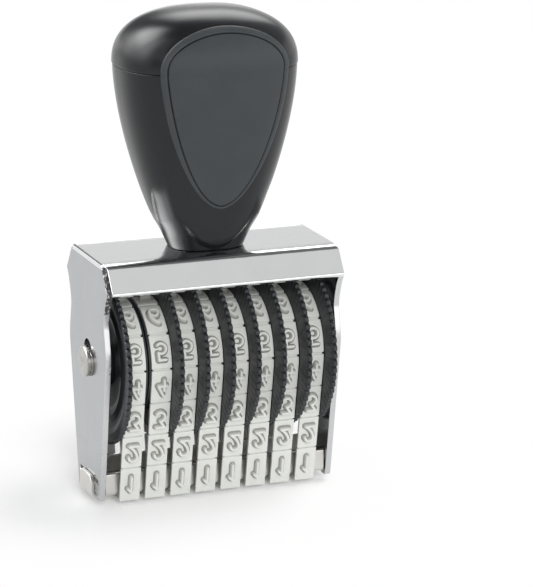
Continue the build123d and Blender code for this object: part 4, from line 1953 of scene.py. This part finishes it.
@dataclass
class Knob:
    """Pear-shaped knob: body with finger flutes, cap, and a framed label panel on each face."""

    shape: KnobShape
    egg: LabelEgg
    columns: int = 360
    rows: int = 190
    crowding: float = 0.25
    cap_rows: int = 70
    panel_steps: int = 200
    shield_knots: tuple[Flat, ...] = (
        (67.3, 0.0),
        (67.7, 2.2),
        (68.8, 4.6),
        (70.5, 6.3),
        (72.2, 7.6),
        (76.4, 9.7),
        (81.0, 11.6),
        (85.6, 13.5),
        (90.0, 15.2),
    )
    shield_tip_fall: float = 5.0
    shield_top_rise: float = 3.0
    flute_depth: float = 0.55
    flute_curve: float = 1.5
    flute_top: float = 85.6
    flute_corner: float = 13.7
    flute_fall: float = 0.67
    flute_margin: float = 1.0
    flute_fade: Span = (-6.0, 0.4)
    waist: Span = (68.0, 79.0)
    waist_loss: float = 0.55
    ridge_start: float = 70.0
    ridge_turn: float = 1.31
    ridge_fade: Span = (67.0, 76.0)
    ridge_edge: Span = (-0.6, 1.8)
    collar_depth: float = 0.9
    collar_edge: Span = (-0.5, 1.2)
    collar_fade: Span = (69.0, 76.0)
    bed_depth: float = 0.7
    bed_from: float = 76.0
    bed_edge: Span = (-1.0, -0.5)
    edge_round: float = 0.25
    seam_gap: float = 0.05
    panel_middle: float = 104.0
    panel_lift: float = 0.1
    panel_edge: tuple[Flat, ...] = ((0.35, 0.1), (0.18, 0.07), (0.06, 0.0), (0.0, -0.12), (0.0, -0.6))
    panel_back: float = -0.9
    rim_gap: float = 0.24
    rim_width: float = 1.45
    rim_lift: float = 0.2
    rim_root: float = -0.6
    rim_seam: float = 0.03
    rim_fade: Span = (-2.0, 24.0)

    def shield_half(self, z: float) -> float:
        """Half width of the raised shield under the label, at a height; negative below it.

        Args:
            z: Height.

        Returns:
            The half width.
        """
        knots = self.shield_knots
        if z <= knots[0][0]:
            return self.shield_tip_fall * (z - knots[0][0])
        for (low, first), (high, second) in zip(knots, knots[1:]):
            if z <= high:
                return first + (second - first) * (z - low) / (high - low)
        return knots[-1][1]

    def shield_low(self, x: float) -> float:
        """Height at which the shield's edge passes a place across the knob.

        Args:
            x: Distance of the place from the middle.

        Returns:
            The height.
        """
        knots = self.shield_knots
        for (low, first), (high, second) in zip(knots, knots[1:]):
            if x <= second:
                return low + (high - low) * (x - first) / (second - first)
        return knots[-1][0] + self.shield_top_rise * (x - knots[-1][1])

    def shield_distance(self, x: float, z: float) -> float:
        """Distance inwards from the shield's edge.

        Args:
            x: Place across the knob.
            z: Height.

        Returns:
            The distance, negative outside the shield.
        """
        beside = self.shield_half(z) - abs(x)
        above = z - self.shield_low(abs(x))
        return beside * abs(above) / max(TINY, hypot(beside, above))

    @staticmethod
    def blend(value: float, low: float, high: float) -> float:
        """Smooth step from 0 at low to 1 at high."""
        t = clamped((value - low) / (high - low))
        return t * t * (3 - 2 * t)

    def flute(self, x: float, z: float, turn: float) -> float:
        """Depth of the finger flute: deepest at the knob's ridge, running out at the shield.

        Args:
            x: Place across the knob.
            z: Height.
            turn: Angle in degrees from the knob's side towards its front or rear.

        Returns:
            The depth.
        """
        reach = max(0.0, self.shield_half(z)) / self.shape.half_width(z, False)
        edge = degrees(acos(min(1.0, reach ** (self.shape.squareness / 2))))
        ridge = max(0.0, (z - self.ridge_start) * self.ridge_turn)
        along = clamped((turn - ridge) / (edge - ridge))
        before = 1 - self.blend(turn - ridge, *self.ridge_edge)
        roof = self.flute_top - self.flute_fall * (abs(x) - self.flute_corner)
        deep = self.flute_depth * (1 - along) ** self.flute_curve
        deep *= 1 - self.blend(z, *self.ridge_fade) * before
        deep *= 1 - self.blend(z - roof, *self.flute_fade)
        return deep * (1 - self.waist_loss * self.blend(z, *self.waist))

    def sink(self, x: float, z: float, turn: float) -> float:
        """How far the body's skin lies under the plain shape: flutes, shield's hollow and label beds.

        Args:
            x: Place across the knob.
            z: Height.
            turn: Angle in degrees from the knob's side towards its front or rear.

        Returns:
            The depth.
        """
        deep = 0.0
        if z < self.flute_top + self.flute_margin:
            collar = self.blend(-self.shield_distance(x, z), *self.collar_edge)
            collar *= 1 - self.blend(z, *self.collar_fade)
            deep = max(self.flute(x, z, turn), self.collar_depth * collar)
        if z > self.bed_from:
            bed = self.blend(-self.egg.distance(x, z), *self.bed_edge)
            deep = max(deep, self.bed_depth * bed)
        return deep

    def ring(self, z: float, inset: float, cap: bool) -> list[Vector]:
        """One ring of the skin at a height.

        Args:
            z: Height.
            inset: How far the ring is drawn in.
            cap: Whether it is the cap's skin, not the body's.

        Returns:
            Points of the ring.
        """
        half = self.shape.half_width(z, cap) - inset
        power = 2 / self.shape.squareness
        points = []
        for index in range(self.columns):
            angle = tau * index / self.columns
            c = cos(angle)
            s = sin(angle)
            x = half * abs(c) ** power * (1 if c >= 0 else -1)
            y = half * self.shape.depth_share * abs(s) ** power * (1 if s >= 0 else -1)
            deep = self.sink(x, z, degrees(atan2(abs(s), abs(c))))
            if deep > 0:
                out = Vector((x, y)).normalized()
                x -= out.x * deep
                y -= out.y * deep
            points.append(Vector((x, y, z)))
        return points

    def edge_rings(self, z: float, inwards: int, cap: bool) -> list[list[Vector]]:
        """Two rings that round a cut edge, from the edge inwards.

        Args:
            z: Height of the cut.
            inwards: 1 where the skin lies above the cut, -1 where it lies below.
            cap: Whether it is the cap's skin, not the body's.

        Returns:
            The rings.
        """
        soft = 0.3 * self.edge_round
        return [self.ring(z, self.edge_round, cap), self.ring(z + inwards * soft, soft, cap)]

    def build_body(self) -> None:
        """Makes the body."""
        mesh = bmesh.new()
        low = self.shape.base
        high = self.shape.seam - self.seam_gap
        edge = self.edge_round
        rings = self.edge_rings(low, 1, False)
        for index in range(self.rows + 1):
            share = index / self.rows
            z = low + edge + (high - low - 2 * edge) * (share + self.crowding * share * (share - 1))
            rings.append(self.ring(z, 0.0, False))
        rings += reversed(self.edge_rings(high, -1, False))
        close_ends(mesh, add_grid(mesh, rings))
        finish_piece(mesh, "knob_body", [GLOSS_BLACK], ROOT, ["handle_body"], sharp_angle=60.0)

    def build_cap(self) -> None:
        """Makes the domed cap."""
        mesh = bmesh.new()
        low = self.shape.seam + self.seam_gap
        height = self.shape.cap_height
        rings = self.edge_rings(low, 1, True)
        start = asin((low + self.edge_round - self.shape.seam) / height)
        for index in range(self.cap_rows):
            angle = start + (pi / 2 - start) * index / self.cap_rows
            rings.append(self.ring(self.shape.seam + height * sin(angle), 0.0, True))
        made = add_grid(mesh, rings)
        close_ring(mesh, made[0])
        close_ring(mesh, made[-1], Vector((0.0, 0.0, self.shape.seam + height)))
        finish_piece(mesh, "knob_cap", [GLOSS_BLACK], ROOT, ["handle_cap"], sharp_angle=60.0)

    def build_panel(self, face: Face) -> None:
        """Makes the label panel of one face: a plain plate with a rounded edge.

        Args:
            face: Front or rear.
        """
        mesh = bmesh.new()
        outline = self.egg.outline(0.0, self.panel_steps)
        centre = Vector((0.0, self.panel_middle))
        shares = [0.04 + 0.08 * index for index in range(11)] + [0.91, 0.96]
        rows = []
        for share in shares:
            rows.append([(centre + (point - centre) * share, self.panel_lift) for point in outline])
        for inset, lift in self.panel_edge:
            rows.append([(point, lift) for point in self.egg.outline(-inset, self.panel_steps)])
        rows.append([(centre.lerp(point, 0.5), self.panel_back) for point in outline])
        placed = [[self.shape.on_face(p.x, p.y, lift, face) for p, lift in row] for row in rows]
        close_ends(mesh, add_grid(mesh, placed))
        node = "label_plate_front" if face is Face.FRONT else "label_plate_rear"
        name = f"label_panel_{face.name.lower()}"
        finish_piece(mesh, name, [SATIN_BLACK], ROOT, [node], sharp_angle=60.0)

    def rim_section(self, z: float) -> list[Flat]:
        """Section of the rim at a height; it fades out downwards.

        Args:
            z: Height.

        Returns:
            Points as (distance from the panel, lift).
        """
        strength = self.blend(z - self.egg.bottom_z, *self.rim_fade)
        inner = self.rim_gap
        outer = inner + self.rim_width * (0.5 + 0.5 * strength)
        lift = self.rim_lift * (0.25 + 0.75 * strength)
        return [
            (inner, self.rim_root),
            (inner, lift - 0.16),
            (inner + 0.07, lift - 0.05),
            (inner + 0.2, lift),
            ((inner + outer) / 2, lift + 0.03),
            (outer - 0.3, lift - 0.01),
            (outer - 0.1, lift - 0.07),
            (outer + 0.05, lift - 0.22),
            (outer + 0.12, -0.35),
            (outer - 0.3, self.rim_root),
        ]

    def build_rim(self, face: Face) -> None:
        """Makes the satin rim round a panel, parted at the knob's seam.

        Args:
            face: Front or rear.
        """
        drop = self.egg.wide_z - self.egg.bottom_z
        above = -asin((self.egg.wide_z - self.shape.seam - self.rim_seam) / drop)
        below = asin((self.egg.wide_z - self.shape.seam + self.rim_seam) / drop)
        for part, start, end in (("upper", above, pi - above), ("lower", pi + below, tau - below)):
            rows = []
            for step in range(self.panel_steps + 1):
                turn = start + (end - start) * step / self.panel_steps
                row = []
                for offset, lift in self.rim_section(self.egg.place(turn).y):
                    point = self.egg.moved(turn, offset)
                    row.append(self.shape.on_face(point.x, point.y, lift, face))
                rows.append(row)
            mesh = bmesh.new()
            add_bar(mesh, rows)
            name = f"label_rim_{face.name.lower()}_{part}"
            finish_piece(mesh, name, [SATIN_BLACK], ROOT, sharp_angle=50.0)

    def build(self) -> None:
        """Makes the whole knob."""
        self.build_body()
        self.build_cap()
        for face in Face:
            self.build_panel(face)
            self.build_rim(face)


# ---------------------------------------------------------------- nodes that keep their CAD shape


@dataclass
class CarriedNodes:
    """CAD nodes whose own shape shows, with better finishes."""

    turned: tuple[str, ...] = ("axle_spacer_left", "axle_spacer_right")
    zinc: tuple[str, ...] = ("handle_screw", "handle_washer")

    def dress(self, node: str, finish: Finish) -> None:
        """Gives a CAD node its finish.

        Args:
            node: Name of the node.
            finish: Its finish.
        """
        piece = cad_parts[node]
        for slot in piece.material_slots:
            slot.material = finish.material()
        if not piece.material_slots:
            piece.data.materials.append(finish.material())
        log.info("%s: CAD shape with %s", node, finish.name)

    def build(self) -> None:
        """Dresses the nodes."""
        for node in self.turned:
            self.dress(node, TURNED)
        for node in self.zinc:
            self.dress(node, ZINC)


# ---------------------------------------------------------------- studio


@dataclass(frozen=True)
class SoftBox:
    """One bright area seen in what shines; angles in degrees, azimuth 0 is -Y and 90 is +X."""

    azimuth: float
    half_width: float
    low: float
    high: float
    level: float
    blur: float = 4.0

    def glow(self, x: Signal, y: Signal, z: Signal) -> Signal:
        """Its brightness towards a direction.

        Args:
            x: Part of the direction along X.
            y: Part along Y.
            z: Part along Z.

        Returns:
            Brightness of the box there.
        """
        turn = radians(self.azimuth)
        flat = ((1 - z * z).most(1e-4)) ** 0.5
        facing = (x * sin(turn) - y * cos(turn)) / flat
        wide = cos(radians(self.half_width + self.blur))
        narrow = cos(radians(max(0.0, self.half_width - self.blur)))
        above = z.step(sin(radians(self.low - self.blur)), sin(radians(self.low + self.blur)))
        top = min(90.0, self.high + self.blur)
        below = 1 - z.step(sin(radians(self.high - self.blur)), sin(radians(top)))
        return facing.step(wide, narrow) * above * below * self.level


@dataclass(frozen=True)
class Lamp:
    """A soft lamp that is not seen in what shines; its width is in degrees."""

    name: str
    towards: Triple
    level: float
    width: float

    def build(self) -> None:
        """Makes the lamp."""
        lamp = bpy.data.lights.new(self.name, "SUN")
        lamp.energy = self.level
        lamp.angle = radians(self.width)
        holder = bpy.data.objects.new(self.name, lamp)
        holder.rotation_euler = Vector(self.towards).normalized().to_track_quat("Z", "Y").to_euler()
        holder.visible_glossy = False
        bpy.context.scene.collection.objects.link(holder)


@dataclass
class Studio:
    """Pale floor, soft studio world, two lamps and the camera."""

    floor_half: float = 6.0
    floor_parts: int = 24
    ambient: float = 0.5
    room: float = 0.16
    low_glow: float = 0.2
    low_glow_fade: Span = (0.05, 0.3)
    key: Lamp = Lamp("key", (0.6, 0.08, 0.78), 1.15, 40.0)
    fill: Lamp = Lamp("fill", (-0.1, -0.9, 0.42), 2.25, 32.0)
    lens: float = 176.72
    sensor: float = 36.0
    nearest: float = 0.01
    farthest: float = 50.0
    camera_right: Triple = (0.93179598, -0.36295952, 0.00407915)
    camera_up: Triple = (0.08974447, 0.24125345, 0.96630363)
    camera_back: Triple = (-0.35171321, -0.90003176, 0.2573726)
    camera_place: Triple = (-0.250047, -0.684044, 0.246396)

    def boxes(self) -> list[SoftBox]:
        """Soft boxes: azimuth, half width, low and high edge, brightness, softness of the edge.

        Returns:
            The boxes.
        """
        return [
            SoftBox(-138, 24, 34, 66, 4.4, 9.0),
            SoftBox(-122, 34, 16, 66, 4.8, 18.0),
            SoftBox(152, 17, 26, 52, 4.1, 9.0),
            SoftBox(120, 47, -20, 19, 0.6, 2.0),
            SoftBox(-112, 40, -25, 14, 0.6, 5.0),
            SoftBox(180, 22, -8, 8, 0.9, 3.0),
            SoftBox(-75, 25, 15, 72, 0.9, 8.0),
            SoftBox(30, 50, 38, 60, 0.62, 4.0),
            SoftBox(105, 25, -5, 62, 0.35, 8.0),
            SoftBox(15, 60, -3, 30, 1.7, 6.0),
        ]

    def build_world(self) -> None:
        """Makes the world: white behind the object, even light on what is matt, soft boxes in what shines."""
        world = bpy.data.worlds.new("studio")
        world.cycles.sampling_method = "NONE"
        bpy.context.scene.world = world
        graph = Graph(world)
        coords = graph.node("ShaderNodeTexCoord")
        parts = graph.node("ShaderNodeSeparateXYZ", {}, {0: coords.outputs["Generated"]})
        x = graph.signal(parts, "X")
        y = graph.signal(parts, "Y")
        z = graph.signal(parts, "Z")
        level = self.room + (1 - z.step(*self.low_glow_fade)) * self.low_glow
        for box in self.boxes():
            level = level + box.glow(x, y, z)
        rays = graph.node("ShaderNodeLightPath")
        seen = graph.signal(rays, "Is Camera Ray").most(graph.signal(rays, "Is Transmission Ray"))
        shining = graph.signal(rays, "Is Glossy Ray") * (1 - seen)
        matt = (1 - seen) * (1 - shining)
        strength = seen + shining * level + matt * self.ambient
        background = graph.node("ShaderNodeBackground", {}, {"Color": WHITE, "Strength": strength})
        graph.node("ShaderNodeOutputWorld", {}, {"Surface": background.outputs[0]})

    def build_floor(self) -> None:
        """Makes the pale floor."""
        mesh = bmesh.new()
        parts = {"x_segments": self.floor_parts, "y_segments": self.floor_parts}
        bmesh.ops.create_grid(mesh, size=self.floor_half, **parts)
        data = bpy.data.meshes.new("floor")
        mesh.to_mesh(data)
        mesh.free()
        data.materials.append(FLOOR.material())
        floor = bpy.data.objects.new("floor", data)
        bpy.context.scene.collection.objects.link(floor)
        floor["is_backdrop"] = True

    def build_camera(self) -> None:
        """Makes the camera, a little to the left of the front and above."""
        camera = bpy.data.cameras.new("camera")
        camera.lens = self.lens
        camera.sensor_width = self.sensor
        camera.clip_start = self.nearest
        camera.clip_end = self.farthest
        holder = bpy.data.objects.new("camera", camera)
        turn = Matrix((self.camera_right, self.camera_up, self.camera_back)).transposed().to_4x4()
        holder.matrix_world = Matrix.Translation(Vector(self.camera_place)) @ turn
        bpy.context.scene.collection.objects.link(holder)
        bpy.context.scene.camera = holder

    def build(self) -> None:
        """Makes the studio."""
        bpy.context.scene.view_settings.view_transform = "Standard"
        self.build_world()
        self.build_floor()
        self.key.build()
        self.fill.build()
        self.build_camera()


def main() -> None:
    """Builds the scene piece by piece."""
    logging.basicConfig(level=logging.INFO, format="%(message)s")
    Studio().build()
    FoldedFrame().build()
    FootChannel().build()
    FigureWheels().build()
    Axle().build()
    FigureBands(BandPath()).build()
    Knob(KnobShape(), LabelEgg()).build()
    CarriedNodes().build()
    boxes = {"cad": CAD_BOX, "visual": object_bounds()}
    sizes = {name: [list(low), list(high)] for name, (low, high) in boxes.items()}


if __name__ == "__main__":
    main()
